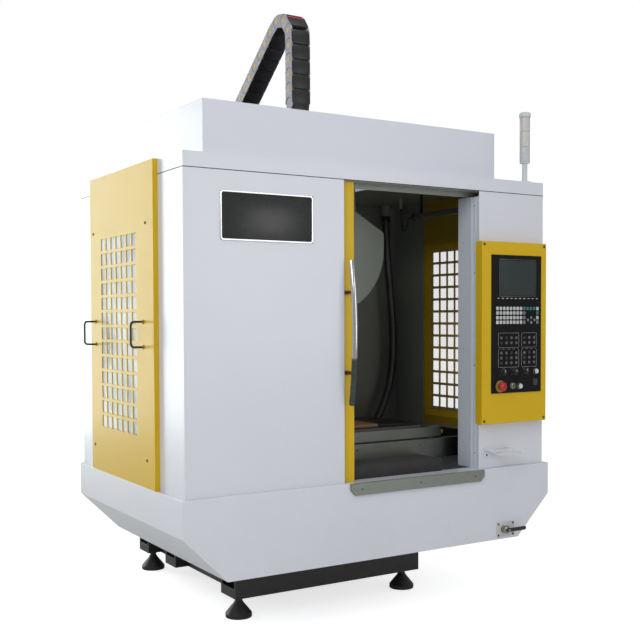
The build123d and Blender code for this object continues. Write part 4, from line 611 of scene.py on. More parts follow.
nickel = metal("bright_nickel", (0.62, 0.63, 0.64), 0.13, grain=(1, 1, 0.05), scale=60.0, tarnish=0.35)
brass = metal("aged_brass", (0.30, 0.22, 0.10), rough=0.3, tarnish=0.5)
# The dark green on the handle's lower third is a painted reflection.
handle_reflection_green = enamel("handle_reflection_green", (0.016, 0.034, 0.026), rough=0.28, coat=0.4, dirt=0.2)


def rounded_end(from_end):
    """The bar's radius, turned to a soft edge at one end; from_end is the share of the way from it."""
    return 0.0110 * min(1.0, 0.86 + from_end * 7.0)


reflection_top = 1.075
upper = bmesh.new()
sweep(upper, handle_line(reflection_top, handle_high, 60), lambda share: rounded_end(1 - share), 32)
piece("handle_bar", upper, "door_body", ["door_handle"], nickel)
lower = bmesh.new()
sweep(lower, handle_line(handle_low, reflection_top, 30), rounded_end, 32)
piece("handle_grip", lower, "door_body", (), handle_reflection_green)
ferrule = bmesh.new()
band = [(0.0108, -0.0035), (0.0113, -0.003), (0.0113, 0.003), (0.0108, 0.0035)]
lathe(ferrule, band, handle_line(reflection_top, reflection_top, 1)[0], (0, -0.05, 1), 32)
for height in (1.021, 1.330):
    reach = handle_reach(height)
    flange = [(0, 0), (0.0108, 0), (0.0113, 0.0008), (0.0113, 0.0030), (0.0105, 0.0038), (0.0080, 0.0040)]
    neck = [(0.0078, 0.009), (0.0070, 0.014), (0.0070, reach - 0.016)]
    neck += [(0.0080, reach - 0.012), (0.0080, reach), (0, reach)]
    lathe(ferrule, flange + neck, (handle_x, door_face, height), (0, -1, 0), 32)
piece("handle_standoffs", ferrule, "door_body", (), brass)

# Side handles
# Slim lifting handles of dark steel rod, bent twice and set in metal collars, two on each side panel;
# the collars' yellowish brown is a painted reflection of the yellow panels.
dark_rod = metal("dark_rod", (0.055, 0.057, 0.06), rough=0.34, tarnish=0.3)
# The collars' yellow tint is a painted reflection of the panel.
collar_yellow_reflection = metal("collar_reflection_metal", (0.34, 0.25, 0.11), rough=0.34, tarnish=0.5)


def bent_line(corners, bend, steps=8):
    """A line through corners with each of its bends rounded."""
    corners = [Vector(corner) for corner in corners]
    line = [corners[0]]
    for before, here, after in zip(corners, corners[1:], corners[2:]):
        start = here + (before - here).normalized() * bend
        end = here + (after - here).normalized() * bend
        for step in range(steps + 1):
            share = step / steps
            line.append(start * (1 - share) ** 2 + here * 2 * share * (1 - share) + end * share**2)
    line.append(corners[-1])
    return line


rods, collars = bmesh.new(), bmesh.new()
collar = [(0, 0), (0.0076, 0), (0.0080, 0.0006), (0.0080, 0.0030), (0.0066, 0.0046), (0.0043, 0.0050)]
collar_low, collar_high = 1.125, 1.220
for side in (-1, 1):
    for handle_y in (-0.538, -0.004):
        face_x, grip_x = side * 0.870, side * 0.920
        corners = [(face_x, handle_y, collar_low), (grip_x, handle_y, collar_low)]
        corners += [(grip_x, handle_y, collar_high), (face_x, handle_y, collar_high)]
        sweep(rods, bent_line(corners, 0.014), 0.004, 20)
        for collar_z in (collar_low, collar_high):
            lathe(collars, collar + [(0, 0.0050)], (face_x, handle_y, collar_z), (side, 0, 0), 28)
piece("side_handle_rods", rods, base_body, ["side_handles"], dark_rod)
piece("side_handle_collars", collars, base_body, (), collar_yellow_reflection)

# Panel screws
# Button-head socket screws, dark zinc: four on each side panel, four on the control box,
# and small ones on the doorway's post, sunk clear of the door, on the lintel behind the door's path,
# on the sill, the service plate, the nameplate and the apron.


def hexagon(radius):
    """The radius of a hexagon at a turn, for a socket or a nut."""
    return lambda turn: radius * cos(pi / 6) / cos((turn % (pi / 3)) - pi / 6)


screw = bmesh.new()
head = [(0, -0.0002), (0.0060, -0.0002), (0.0060, 0.0006)]
head += [(0.0056, 0.0017), (0.0046, 0.0026), (0.0034, 0.0030)]
socket = [(hexagon(0.0029), 0.0029), (hexagon(0.0028), 0.0012), (0, 0.0011)]
lathe(screw, head + socket, (0, 0, 0), (0, 0, 1), 24)
screw_shape = hidden("screw_shape", screw)
screw_zinc = metal("dark_zinc_screws", (0.10, 0.10, 0.10), rough=0.38, tarnish=0.4)
facing = {"-x": (0, -pi / 2, 0), "+x": (0, pi / 2, 0), "-y": (pi / 2, 0, 0), "-z": (pi, 0, 0)}


def screws(name, places, way, body, size=1.0, replaced=()):
    """The same screw at each place, with its head facing one way."""
    sizes = {"Shape": screw_shape, "Finish": screw_zinc, "Turn": facing[way], "Size": size}
    return piece(name, grow(name, places, copies, sizes), body, replaced)


panel_rows = [(y, z) for y in (-0.565, 0.021) for z in (1.588, 0.700)]
screws("left_panel_screws", [(-0.870, y, z) for y, z in panel_rows], "-x", base_body, 1.0, ["panel_screws"])
screws("right_panel_screws", [(0.870, y, z) for y, z in panel_rows], "+x", base_body)
box_places = [(x, -0.905, z) for x in (0.483, 0.819) for z in (0.799, 1.536)]
screws("control_box_screws", box_places, "-y", base_body)
sunk = 0.0014
post_places = [(0.488 + sunk, -0.8352, z) for z in (0.66, 1.03, 1.42, 1.70)]
post_places += [(0.488 + sunk, -0.765, z) for z in (0.70, 1.10, 1.55)]
screws("post_screws", post_places, "-x", base_body, 0.6)
screws("lintel_screws", [(x, -0.802, 1.757 + sunk) for x in (-0.05, 0.36)], "-z", base_body, 0.7)
screws("sill_screws", [(x, -0.893, 0.571) for x in (-0.120, 0.164, 0.448)], "-y", base_body, 0.6)
port_places = [(x, -0.888, z) for x in (0.579, 0.660) for z in (0.306, 0.354)]
screws("port_screws", port_places, "-y", base_body, 0.8)
plate_places = [(x, -0.8690, z) for x in (-0.7045, -0.3265) for z in (1.5135, 1.6845)]
screws("nameplate_screws", plate_places, "-y", base_body, 0.38)
apron_places = [(x, -0.678, 0.688) for x in (-0.64, -0.32, 0.0, 0.32, 0.64)]
screws("apron_screws", apron_places, "-y", "saddle_body", 0.6)

# Stainless trim
# The sill, the saddle's long apron and the table's splash guard are folded brushed stainless,
# drawn along their length, with a little coolant stain.
brushed = {"grain": (0.02, 1.0, 1.0), "scale": 700.0, "depth": 0.00002, "tarnish": 0.3}
stainless = metal("brushed_stainless", (0.13, 0.135, 0.12), rough=0.34, **brushed)
sill_stainless = metal("sill_stainless", (0.27, 0.295, 0.265), rough=0.3, **brushed)
dressed("sill", sill_stainless, 0.0010)
for node in ("saddle_apron", "table_guard"):
    dressed(node, stainless, 0.0007)

# Castings
# Bed, column, saddle and head are grey iron, machined where the guides sit and painted elsewhere:
# black on the bed, dark grey above.
bed_casting = casting("bed_casting", (0.014, 0.014, 0.015), grain=70.0, rough=0.45)
grey_casting = casting("grey_casting", (0.085, 0.09, 0.09), grain=80.0, rough=0.5)
head_casting = casting("head_casting", (0.12, 0.125, 0.125), grain=80.0, rough=0.45)
dressed("bed", bed_casting, 0.0022)
for node in ("column", "saddle"):
    dressed(node, grey_casting, 0.0018)
dressed("head", head_casting, 0.0018)

# Guides
# Hardened and ground linear rails for the Y, X and Z slides, with the marks of grinding along them.
ground = {"rough": 0.22, "scale": 900.0, "tarnish": 0.4}
ground_x = metal("ground_rail_x", (0.42, 0.43, 0.44), grain=(0.02, 1, 1), **ground)
ground_y = metal("ground_rail_yz", (0.42, 0.43, 0.44), grain=(1, 0.05, 0.05), **ground)
dressed("guide_rails", ground_y, 0.0007)
dressed("x_rails", ground_x, 0.0007)

# Ball screws
# Three rolled screws of 32 mm with a 16 mm lead; the rounded ball track winds along each of them
# between plain turned ends.


def ball_screw(solid, start, way, length, plain=0.05, radius=0.016, lead=0.016, depth=0.0022):
    """A screw as one mesh: rings along it whose radius dips where the ball track passes."""
    way = Vector(way)
    across = way.orthogonal().normalized()
    along = way.cross(across)
    turns = [2 * pi * step / 20 for step in range(20)]
    run = length - plain - plain
    count = int(run / lead * 8)
    stations = [(0.0, False), (plain, False)]
    stations += [(plain + run * index / count, True) for index in range(1, count)]
    stations += [(length - plain, False), (length, False)]
    rings = []
    for place, threaded in stations:
        centre = Vector(start) + way * place
        ring = []
        for turn in turns:
            size = radius * (1.0 if threaded else 0.93)
            if threaded:
                size -= depth * ((1 + cos(2 * pi * place / lead - turn)) / 2) ** 2
            ring.append(solid.verts.new(centre + (across * cos(turn) + along * sin(turn)) * size))
        rings.append(ring)
    bridge(solid, rings, ends=True)


screw_steel = metal("ball_screw_steel", (0.38, 0.38, 0.39), rough=0.24, tarnish=0.4)
screw_runs = {
    "y_screw": ((0, -0.7147, 0.490), (0, 1, 0), 0.9092),
    "x_screw": ((-0.4500, -0.440, 0.635), (1, 0, 0), 0.8997),
    "z_screw": ((0, 0.210, 1.000), (0, 0, 1), 1.0097),
}
for node, (start, way, length) in screw_runs.items():
    screw_mesh = bmesh.new()
    ball_screw(screw_mesh, start, way, length)
    piece(f"{node}_threaded", screw_mesh, f"{node}_body", [node], screw_steel, 50.0)

# Servo motors
# Square motors in satin black with a cast flange, a turned rear cover and a round connector;
# one on each slide's screw, and fins down the sides of the one in front.


def satin(name, colour=(0.016, 0.016, 0.017), rough=0.36, specular=0.5):
    """Satin powder coat with a fine texture and rubbed spots."""

    def values(nodes):
        texture = nodes.noise(520.0, 3.0)
        rub = nodes.noise(18.0, 5.0, 0.65)
        return {
            "Base Color": nodes.mix(rub.ramp(0.52, 0.8) * 0.6, shade(colour), shade(tint(colour, 2.5))),
            "Roughness": rough + (texture - 0.5) * 0.15 + (rub - 0.5) * 0.12,
            "Specular IOR Level": specular,
            "Normal": nodes.bump(texture, 0.0001, 0.5),
        }

    return surface(name, values)


motor_black = satin("motor_black_finish")
for node in ("axis_motors", "x_motor"):
    dressed(node, motor_black, 0.0016, 32.0)
fins = bmesh.new()
for index in range(9):
    fin_y = -0.836 + index * 0.0125
    box(fins, (-0.0557, fin_y, 0.450), (-0.0545, fin_y + 0.004, 0.530), 0.0003)
    box(fins, (0.0545, fin_y, 0.450), (0.0557, fin_y + 0.004, 0.530), 0.0003)
piece("y_motor_fins", fins, base_body, (), motor_black)

# Spindle motor
# The square-section motor stands on the head: a finned body in satin black, a turned fan shroud
# with a wire guard on top and a rating plate left blank.
dressed("spindle_motor", motor_black, 0.0016, 32.0)
guard = bmesh.new()
fan_y, shroud_z = -0.265, 2.1198
for radius in (0.018, 0.034, 0.050, 0.066):
    ring = [(x, y, shroud_z) for x, y in arc((0, fan_y), radius, 0, 360, 40)]
    sweep(guard, ring, 0.0011, 8, closed_ends=False)
for index in range(6):
    spoke = [arc((0, fan_y), radius, 60 * index, 0, 1)[0] for radius in (0.010, 0.070)]
    sweep(guard, [(x, y, shroud_z) for x, y in spoke], 0.0012, 8)
weld(guard, 0.00005)
fan_wire = metal("fan_guard_wire", (0.30, 0.31, 0.32), rough=0.3)
piece("fan_guard", guard, "head_body", (), fan_wire)
plate = bmesh.new()
box(plate, (-0.030, -0.3487, 1.985), (0.030, -0.3478, 2.025), 0.0003)
blank_metal = metal("blank_plate", (0.42, 0.42, 0.42), rough=0.35)
piece("motor_plate", plate, "head_body", (), blank_metal)

# Chain shelf
# A bent steel plate in the head's grey carries the first link of the cable chain.
dressed("chain_shelf", head_casting, 0.0008)

# Spindle
# Ground nose with two drive keys and a 7/24 taper; the keys and the face are bare steel, bright from use.
spindle_steel = metal("spindle_ground", (0.45, 0.46, 0.47), 0.18, grain=(1, 1, 0.3), scale=300.0, tarnish=0.3)
dressed("spindle", spindle_steel, 0.0006, 32.0)

# Tool magazine
# A spun and folded enamelled cover, its colour darkened to grey-green as painted shade of the cabin,
# hides a dark disc that carries a gripper fork for each tool.
magazine_shade_enamel = enamel("magazine_shade_enamel", (0.30, 0.325, 0.285), rough=0.42)
dressed("magazine_cover", magazine_shade_enamel, 0.0010, 32.0)
fork_plastic = satin("fork_plastic", (0.05, 0.052, 0.055), rough=0.45)
dressed("tool_disc", fork_plastic, 0.0007, 32.0)

# Table
# A cast and milled table with three T-slots; the ground top shows the cutter's passes,
# with rust-brown stains where a board has lain.


def milled(name, colour):
    """A milled face: fine crossing passes, stains and worn bright spots."""

    def values(nodes):
        passes = nodes.noise(520.0, 2.0, 0.5, nodes.stretched((0.04, 1.0, 1.0)))
        stain = nodes.noise(7.0, 6.0, 0.7)
        base = nodes.mix(stain.ramp(0.5, 0.72) * 0.7, shade(colour), (0.12, 0.075, 0.04, 1.0))
        return {
            "Base Color": nodes.mix(passes * 0.25, base, shade(tint(colour, 1.3))),
            "Roughness": 0.3 + stain * 0.3 + (passes - 0.5) * 0.15,
            "Metallic": 0.9,
            "Normal": nodes.bump(passes, 0.00003, 0.6),
        }

    return surface(name, values)


dressed("table", milled("table_milled", (0.065, 0.066, 0.060)), 0.0008)

# Way cover
# The pleated cover over the Y guides: rubberised cloth in nine folds, its sides turned down a little,
# between a plate on the tray and the saddle's apron.
fold_start, fold_end, fold_count = -0.815, -0.678, 9
fold_low, fold_high = 0.6345, 0.6478
fold_pitch = (fold_end - fold_start) / fold_count
profile = []
for index in range(fold_count):
    y = fold_start + index * fold_pitch
    profile += [(y, fold_low), (y + fold_pitch * 0.12, fold_low + 0.0010)]
    profile += [(y + fold_pitch * 0.44, fold_high - 0.0008), (y + fold_pitch * 0.5, fold_high)]
    profile += [(y + fold_pitch * 0.56, fold_high - 0.0008), (y + fold_pitch * 0.88, fold_low + 0.0010)]
profile.append((fold_end - 0.0002, fold_low))


def cloth_strip(solid, line, half, thickness):
    """A folded strip of cloth with a thickness, from one side to the other."""
    rows = []
    for x in (-half, -half + 0.012, half - 0.012, half):
        drop = 0.0015 if abs(x) == half else 0.0
        rows.append([solid.verts.new((x, y, z - drop)) for y, z in line])
    under = [[solid.verts.new((v.co.x, v.co.y, v.co.z - thickness)) for v in row] for row in rows]
    for left, right in zip(rows, rows[1:]):
        for i in range(len(line) - 1):
            solid.faces.new((left[i], right[i], right[i + 1], left[i + 1]))
    for left, right in zip(under, under[1:]):
        for i in range(len(line) - 1):
            solid.faces.new((left[i], left[i + 1], right[i + 1], right[i]))
    for i in range(len(line) - 1):
        solid.faces.new((rows[0][i], rows[0][i + 1], under[0][i + 1], under[0][i]))
        solid.faces.new((rows[-1][i], under[-1][i], under[-1][i + 1], rows[-1][i + 1]))
    for k in range(len(rows) - 1):
        solid.faces.new((rows[k][0], under[k][0], under[k + 1][0], rows[k + 1][0]))
        solid.faces.new((rows[k][-1], rows[k + 1][-1], under[k + 1][-1], under[k][-1]))


cover = bmesh.new()
cloth_strip(cover, profile, 0.330, 0.0016)
cover_mesh = mesh_of("way_cover", cover)
cover_cloth = rubber("way_cover_cloth", (0.022, 0.023, 0.023), 0.5)
cover_mesh.materials.append(cover_cloth)
way_cover = linked("way_cover", cover_mesh)
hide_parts("y_bellows")
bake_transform(way_cover, base_body, "saddle_body", start=(0, -0.8148, 0.64), end=(0, -0.6784, 0.64))
plate = bmesh.new()
box(plate, (-0.330, -0.819, 0.5952), (0.330, -0.815, 0.6478), 0.0006)
piece("way_cover_plate", plate, base_body, (), black_rubber)

# Work light
# A sealed tube lamp on two straps: a frosted tube, dim now, between ribbed black end caps.
straps = bmesh.new()
lamp_x, lamp_z = 0.630, 1.715
for strap_y in (-0.605, -0.285):
    box(straps, (lamp_x - 0.003, strap_y - 0.007, 1.7285), (lamp_x + 0.003, strap_y + 0.007, 1.813), 0.0006)
    for shift in (-0.0045, 0.0, 0.0045):
        hoop = [(x, strap_y + shift, z) for x, z in arc((lamp_x, lamp_z), 0.0150, 90, -360, 32)]
        sweep(straps, hoop, 0.0012, 8, closed_ends=False)
weld(straps, 0.00005)
piece("lamp_straps", straps, base_body, (), screw_zinc)
caps = bmesh.new()
for start_y, way in ((-0.665, 1), (-0.225, -1)):
    cap = [(0, 0), (0.0140, 0), (0.0160, 0.0015)]
    for groove in (0.004, 0.007, 0.010):
        cap += [(0.0160, groove), (0.0152, groove + 0.0004)]
        cap += [(0.0152, groove + 0.0011), (0.0160, groove + 0.0015)]
    cap += [(0.0160, 0.0140), (0.0142, 0.0144), (0, 0.0144)]
    lathe(caps, cap, (lamp_x, start_y, lamp_z), (0, way, 0), 36)
piece("lamp_caps", caps, base_body, (), black_rubber)
tube = bmesh.new()
lathe(tube, [(0, 0), (0.0138, 0), (0.0138, 0.413), (0, 0.413)], (lamp_x, -0.6515, lamp_z), (0, 1, 0), 36)


def lamp_values(nodes):
    frost = nodes.noise(260.0, 3.0)
    return {
        "Base Color": nodes.mix(frost, (0.055, 0.06, 0.06, 1.0), (0.09, 0.095, 0.095, 1.0)),
        "Roughness": 0.22 + frost * 0.2,
        "Coat Weight": 0.6,
        "Normal": nodes.bump(frost, 0.0001, 0.4),
    }


frosted = surface("lamp_tube_frosted", lamp_values)
piece("lamp_tube", tube, base_body, ["work_light"], frosted)

# Lamp cable
# A thin black rubber cable leaves the lamp's rear cap, loops once and goes up into a gland in the roof,
# with a moulded sleeve at each end.


def cord_curve(name, route, radius, material, resolution=24):
    """A cord as one open spline through the route's own points, round and closed at its ends."""
    curve = bpy.data.curves.new(name, "CURVE")
    curve.dimensions = "3D"
    curve.bevel_depth = radius
    curve.bevel_resolution = 8
    curve.use_fill_caps = True
    curve.resolution_u = resolution
    spline = curve.splines.new("NURBS")
    spline.points.add(len(route) - 1)
    for point, place in zip(spline.points, route):
        point.co = (*place, 1.0)
    spline.order_u = 3
    spline.use_endpoint_u = True
    spline.resolution_u = resolution
    curve.materials.append(material)
    return linked(name, curve)


def line_of(route, resolution=24):
    """The points along a route's spline, read from the curve itself."""
    bare = cord_curve("route", route, 0.0, black_rubber, resolution)
    mesh = bpy.data.meshes.new_from_object(bare)
    line = [vert.co.copy() for vert in mesh.vertices]
    bpy.data.objects.remove(bare)
    return line


def line_length(line):
    return sum((after - before).length for before, after in zip(line, line[1:]))


lamp_route = [
    (0.630, -0.225, 1.715),
    (0.630, -0.175, 1.715),
    (0.630, -0.175, 1.655),
    (0.630, -0.120, 1.655),
    (0.630, -0.120, 1.762),
]
cable_rubber = rubber("cable_rubber", (0.012, 0.012, 0.013), 0.42)
lamp_cable = cord_curve("lamp_cable_cord", lamp_route, 0.0035, cable_rubber)
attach(lamp_cable, base_body)
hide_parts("lamp_cable")
lamp_line = line_of(lamp_route)
sleeve = bmesh.new()
relief = [(0, 0), (0.0075, 0), (0.0075, 0.004)]
for step in range(4):
    radius = 0.0066 - step * 0.0007
    relief += [(radius, 0.0045 + step * 0.0040), (radius - 0.0007, 0.0062 + step * 0.0040)]
    relief += [(radius - 0.0007, 0.0078 + step * 0.0040)]
relief += [(0.0038, 0.0212), (0.0035, 0.0216), (0, 0.0216)]
lathe(sleeve, relief, lamp_route[0], (0, 1, 0), 28)
lathe(sleeve, relief, lamp_route[-1], (0, 0, -1), 28)
lamp_sleeves = piece("lamp_cable_sleeves", sleeve, base_body, (), cable_rubber)

# Armoured hose
# A spiral steel conduit hangs down inside the right wall from a gland in the roof
# to another on the bed's flank; its ribs wind round the cables it guards.
hose_route = [
    (0.748, 0.170, 1.757),
    (0.748, 0.170, 1.620),
    (0.775, 0.170, 1.370),
    (0.795, 0.170, 1.110),
    (0.780, 0.170, 0.910),
    (0.715, 0.170, 0.745),
    (0.625, 0.170, 0.610),
    (0.530, 0.170, 0.475),
    (0.440, 0.170, 0.475),
]


def resampled(line, pitch):
    """The same line with its points evenly spaced."""
    total = line_length(line)
    count = max(2, round(total / pitch))
    places, travelled, index = [line[0]], 0.0, 0
    for step in range(1, count):
        wanted = total * step / count
        while travelled + (line[index + 1] - line[index]).length < wanted:
            travelled += (line[index + 1] - line[index]).length
            index += 1
        span = line[index + 1] - line[index]
        places.append(line[index] + span * ((wanted - travelled) / span.length))
    return places + [line[-1]]


hose_line = line_of(hose_route, 40)
hose_steps = resampled(hose_line, 0.0022)
rib_rows = [0.0174, 0.0188, 0.0190, 0.0180]
hose = bmesh.new()
sweep(hose, hose_steps, lambda share: rib_rows[round(share * (len(hose_steps) - 1)) % 4], 28)
hose_steel = metal("hose_steel", (0.13, 0.135, 0.14), rough=0.34, tarnish=0.4)
hose_piece = piece("armored_hose_ribbed", hose, base_body, ["armored_hose"], hose_steel, 50.0)
gland = bmesh.new()
nut = [(0, -0.0005), (hexagon(0.0255), 0.0), (hexagon(0.0255), 0.014), (0.0225, 0.0155)]
nut += [(0.0215, 0.024), (0.0195, 0.027), (0, 0.027)]
lathe(gland, nut, hose_route[0], (0, 0, -1), 36)
lathe(gland, nut, hose_route[-1], (1, 0, 0), 36)
hose_glands = piece("hose_gland_nuts", gland, base_body, (), screw_zinc)
[tuple(point) for point in hose_steps[::6] + [hose_steps[-1]]]

# Cable chain
# Plastic links carry the head's cables from its shelf, up over a bend and down to the column's top:
# grey half-lapped cheeks with a yellow pin at each joint, black snap-on covers over them, and one red stripe
# across the upper edge of the lid in front of the topmost one. An end plate closes it at the shelf.
chain_front, chain_start, chain_bend, bend_radius, slope = -0.385, 2.138, 2.425, 0.085, radians(38)
link_pitch, cheek_radius = 0.062, 0.0262
cheek_gap = 0.0024
chain_low_x, chain_high_x = -0.150, -0.060
column_end_z = 2.028
end_plate_low, end_plate_high = 2.1102, 2.1400


def chain_place(distance):
    """The place on the chain's line, measured from its pin on the shelf."""
    rise = chain_bend - chain_start
    if distance <= rise:
        return Vector((0, chain_front, chain_start + distance))
    turn = min((distance - rise) / bend_radius, pi / 2 + slope)
    run = distance - rise - turn * bend_radius
    y = chain_front + bend_radius * (1 - cos(turn)) + run * cos(slope)
    return Vector((0, y, chain_bend + bend_radius * sin(turn) - run * sin(slope)))


chain_pins = [0.0]
while True:
    step = link_pitch
    for _ in range(20):
        gap = (chain_place(chain_pins[-1] + step) - chain_place(chain_pins[-1])).length
        step += link_pitch - gap
    if chain_place(chain_pins[-1] + step).z <= column_end_z:
        break
    chain_pins.append(chain_pins[-1] + step)
pin_places = [chain_place(distance) for distance in chain_pins]


def chain_tree(name):
    """A shape's tree that puts one link on each edge's middle, turned along that edge about X."""
    nodes = Nodes(bpy.data.node_groups.new(name, "GeometryNodeTree"))
    line = nodes.input("Geometry", "NodeSocketGeometry")
    link = nodes.input("Link", "NodeSocketObject")
    finish = nodes.input("Finish", "NodeSocketMaterial")
    ends = [nodes.node("GeometryNodeInputMeshEdgeVertices", out=out) for out in (2, 3)]
    way = nodes.node("ShaderNodeVectorMath", {"operation": "SUBTRACT"}, {0: ends[1], 1: ends[0]})
    stored = nodes.node(
        "GeometryNodeStoreNamedAttribute",
        {"data_type": "FLOAT_VECTOR", "domain": "EDGE"},
        {"Geometry": line, "Name": "way", "Value": way},
    )
    points = nodes.node("GeometryNodeMeshToPoints", {"mode": "EDGES"}, {0: stored})
    read = nodes.node("GeometryNodeInputNamedAttribute", {"data_type": "FLOAT_VECTOR"}, {"Name": "way"})
    turned = nodes.node("FunctionNodeAlignRotationToVector", {"axis": "Y"}, {"Vector": read})
    shaped = nodes.node("GeometryNodeObjectInfo", {"transform_space": "ORIGINAL"}, {0: link}, out="Geometry")
    placed = nodes.node(
        "GeometryNodeInstanceOnPoints", None, {"Points": points, "Instance": shaped, "Rotation": turned}
    )
    nodes.finish_shape(placed, finish)
    return nodes.tree


def cheek_outline(half_pitch, radius, way, steps=16):
    """A cheek's outline in the chain's plane: round at one end, hollowed for the next cheek at the other."""
    round_end = arc((half_pitch, 0), radius, 90, -180, steps)
    hollow = arc((-half_pitch, 0), radius + cheek_gap, -80, 160, steps)
    return [(way * y, z) for y, z in round_end + hollow]


def slab(solid, outline, low_x, high_x, edge):
    """A flat plate with a chamfered edge, its outline given in (y, z)."""
    centre_y = sum(y for y, z in outline) / len(outline)
    centre_z = sum(z for y, z in outline) / len(outline)
    layers = [(low_x, edge), (low_x + edge, 0.0), (high_x - edge, 0.0), (high_x, edge)]
    rings = []
    for x, inset in layers:
        ring = []
        for y, z in outline:
            out_y, out_z = y - centre_y, z - centre_z
            away = hypot(out_y, out_z)
            share = (away - inset) / away
            ring.append(solid.verts.new((x, centre_y + out_y * share, centre_z + out_z * share)))
        rings.append(ring)
    bridge(solid, rings, ends=True)
    bmesh.ops.recalc_face_normals(solid, faces=solid.faces)


half_width = (chain_high_x - chain_low_x) / 2
half_pitch = link_pitch / 2
cheeks, covers, pins, stripes = bmesh.new(), bmesh.new(), bmesh.new(), bmesh.new()
for side in (-1, 1):
    outer = sorted((side * half_width, side * (half_width - 0.0028)))
    inner = sorted((side * (half_width - 0.0031), side * (half_width - 0.0060)))
    slab(cheeks, cheek_outline(half_pitch, cheek_radius, 1), outer[0], outer[1], 0.0010)
    slab(cheeks, cheek_outline(half_pitch, cheek_radius, -1), inner[0], inner[1], 0.0005)
    lathe(pins, [(0, -0.001), (0.0085, -0.001), (0.0088, 0.0010), (0.0078, 0.0016), (0, 0.0018)],
          (side * half_width, half_pitch, 0), (side, 0, 0), 24)
lid_layers = ((0.0004, 0.0022, 0.0002, 0.0018, 0.0006), (0.0064, 0.0010, -0.0046, 0.0004, 0.0010))
for edge in (-1, 1):
    for x_gap, y_gap, near, far, soft in lid_layers:
        low_z, high_z = sorted((edge * (cheek_radius + near), edge * (cheek_radius + far)))
        lid_x, lid_y = half_width - x_gap, half_pitch - y_gap
        box(covers, (-lid_x, -lid_y, low_z), (lid_x, lid_y, high_z), soft)
lid_x = half_width - lid_layers[0][0]
box(stripes, (-lid_x, half_pitch - 0.0090, cheek_radius + 0.0014),
    (lid_x, half_pitch - 0.0026, cheek_radius + 0.0022), 0.0002)
links_tree = chain_tree("links_on_edges")
chain_middle = (chain_low_x + chain_high_x) / 2
chain_line = [(chain_middle, place.y, place.z) for place in pin_places]
chain_edges = [(index, index + 1) for index in range(len(chain_line) - 1)]
top_link = max(range(len(chain_edges)), key=lambda index: chain_line[index][2] + chain_line[index + 1][2])
cheek_grey = satin("cheek_plastic", (0.40, 0.39, 0.44), rough=0.42)
cover_black = satin("cover_plastic", (0.014, 0.014, 0.015), rough=0.4)
pin_yellow = satin("pin_plastic", (0.80, 0.55, 0.03), rough=0.45)
stripe_red = satin("stripe_plastic", (0.62, 0.03, 0.04), rough=0.4)
chain_pieces = (
    ("chain_cheeks", cheeks, cheek_grey, ["cable_chain"], chain_edges),
    ("chain_covers", covers, cover_black, [], chain_edges),
    ("chain_pins", pins, pin_yellow, [], chain_edges),
    ("chain_stripe", stripes, stripe_red, [], [chain_edges[top_link - 1]]),
)
for name, shape, finish, replaced, edges in chain_pieces:
    sizes = {"Link": hidden(f"{name}_shape", shape), "Finish": finish}
    mesh = grow(name, chain_line, links_tree, sizes, edges)
    smooth(mesh, 35)
    for attribute in [item.name for item in mesh.attributes if item.name == "way"]:
        mesh.attributes.remove(mesh.attributes[attribute])
    made = linked(name, mesh)
    if replaced:
        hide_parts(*replaced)
    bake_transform(made, "head_body", base_body, start=(-0.105, -0.357, 2.4), end=(-0.105, 0.05, 2.4))
end_plate = bmesh.new()
plate_low_x, plate_high_x = chain_low_x + 0.0064, chain_high_x - 0.0064
for y in (chain_front - 0.0264, chain_front + 0.0264):
    low, high = (plate_low_x, y - 0.0014, end_plate_low), (plate_high_x, y + 0.0014, end_plate_high)
    box(end_plate, low, high, 0.0006)
piece("chain_end_plates", end_plate, "head_body", (), cover_black)

# Control station
# A folded yellow box carries two moulded black units: a display with its data keys above,
# and a machine panel with four fields of keys below.
dressed("control_box", yellow_enamel, 0.0012)
black_texture = satin("unit_plastic", (0.005, 0.005, 0.0055), rough=0.45, specular=0.14)
for node in ("display_unit", "operator_panel"):
    dressed(node, black_texture, 0.0006)


def glass_values(nodes):
    smear = nodes.noise(9.0, 5.0, 0.6)
    return {
        "Base Color": nodes.mix(smear, (0.014, 0.022, 0.023, 1.0), (0.024, 0.036, 0.038, 1.0)),
        "Roughness": 0.12 + smear.ramp(0.4, 0.8) * 0.18,
        "Coat Weight": 0.3,
        "Normal": nodes.bump(smear, 0.00001, 0.2),
    }


dressed("screen", surface("display_glass_finish", glass_values), 0.0003)
bezel = bmesh.new()
bars_round(bezel, (0.5625, 0.7675), (-0.9092, -0.9078), (1.3205, 1.4755), 0.0020, 0.0005)
bezel_plastic = satin("bezel_plastic", (0.03, 0.033, 0.034), 0.3)
piece("screen_bezel", bezel, base_body, (), bezel_plastic)

# Keys
# Moulded caps set in the units: white for data, teal and grey on the right, softly dished,
# with white dashes for the soft keys under the screen and thin printed outlines round the fields.
key_face, panel_key_face, print_face = -0.9100, -0.9092, -0.9081


def key_cap(solid, x, z, width, height, face, turn=0.0, rise=0.0016):
    """One key: a cap with sloping sides and a shallow dish in its face."""
    layers = [(0.0, 1.0), (0.0005, 1.0), (rise, 0.86), (rise + 0.0002, 0.80), (rise - 0.0001, 0.55)]
    rings = []
    for out, share in layers:
        ring = []
        for i in range(16):
            angle = 2 * pi * (i + 0.5) / 16
            reach = min(1 / max(abs(cos(angle)), 1e-6), 1 / max(abs(sin(angle)), 1e-6), 1.28)
            across = reach * cos(angle) * width / 2 * share
            up = reach * sin(angle) * height / 2 * share
            place_x = x + across * cos(turn) - up * sin(turn)
            ring.append(solid.verts.new((place_x, face - out, z + across * sin(turn) + up * cos(turn))))
        rings.append(ring)
    bridge(solid, rings, ends=True)


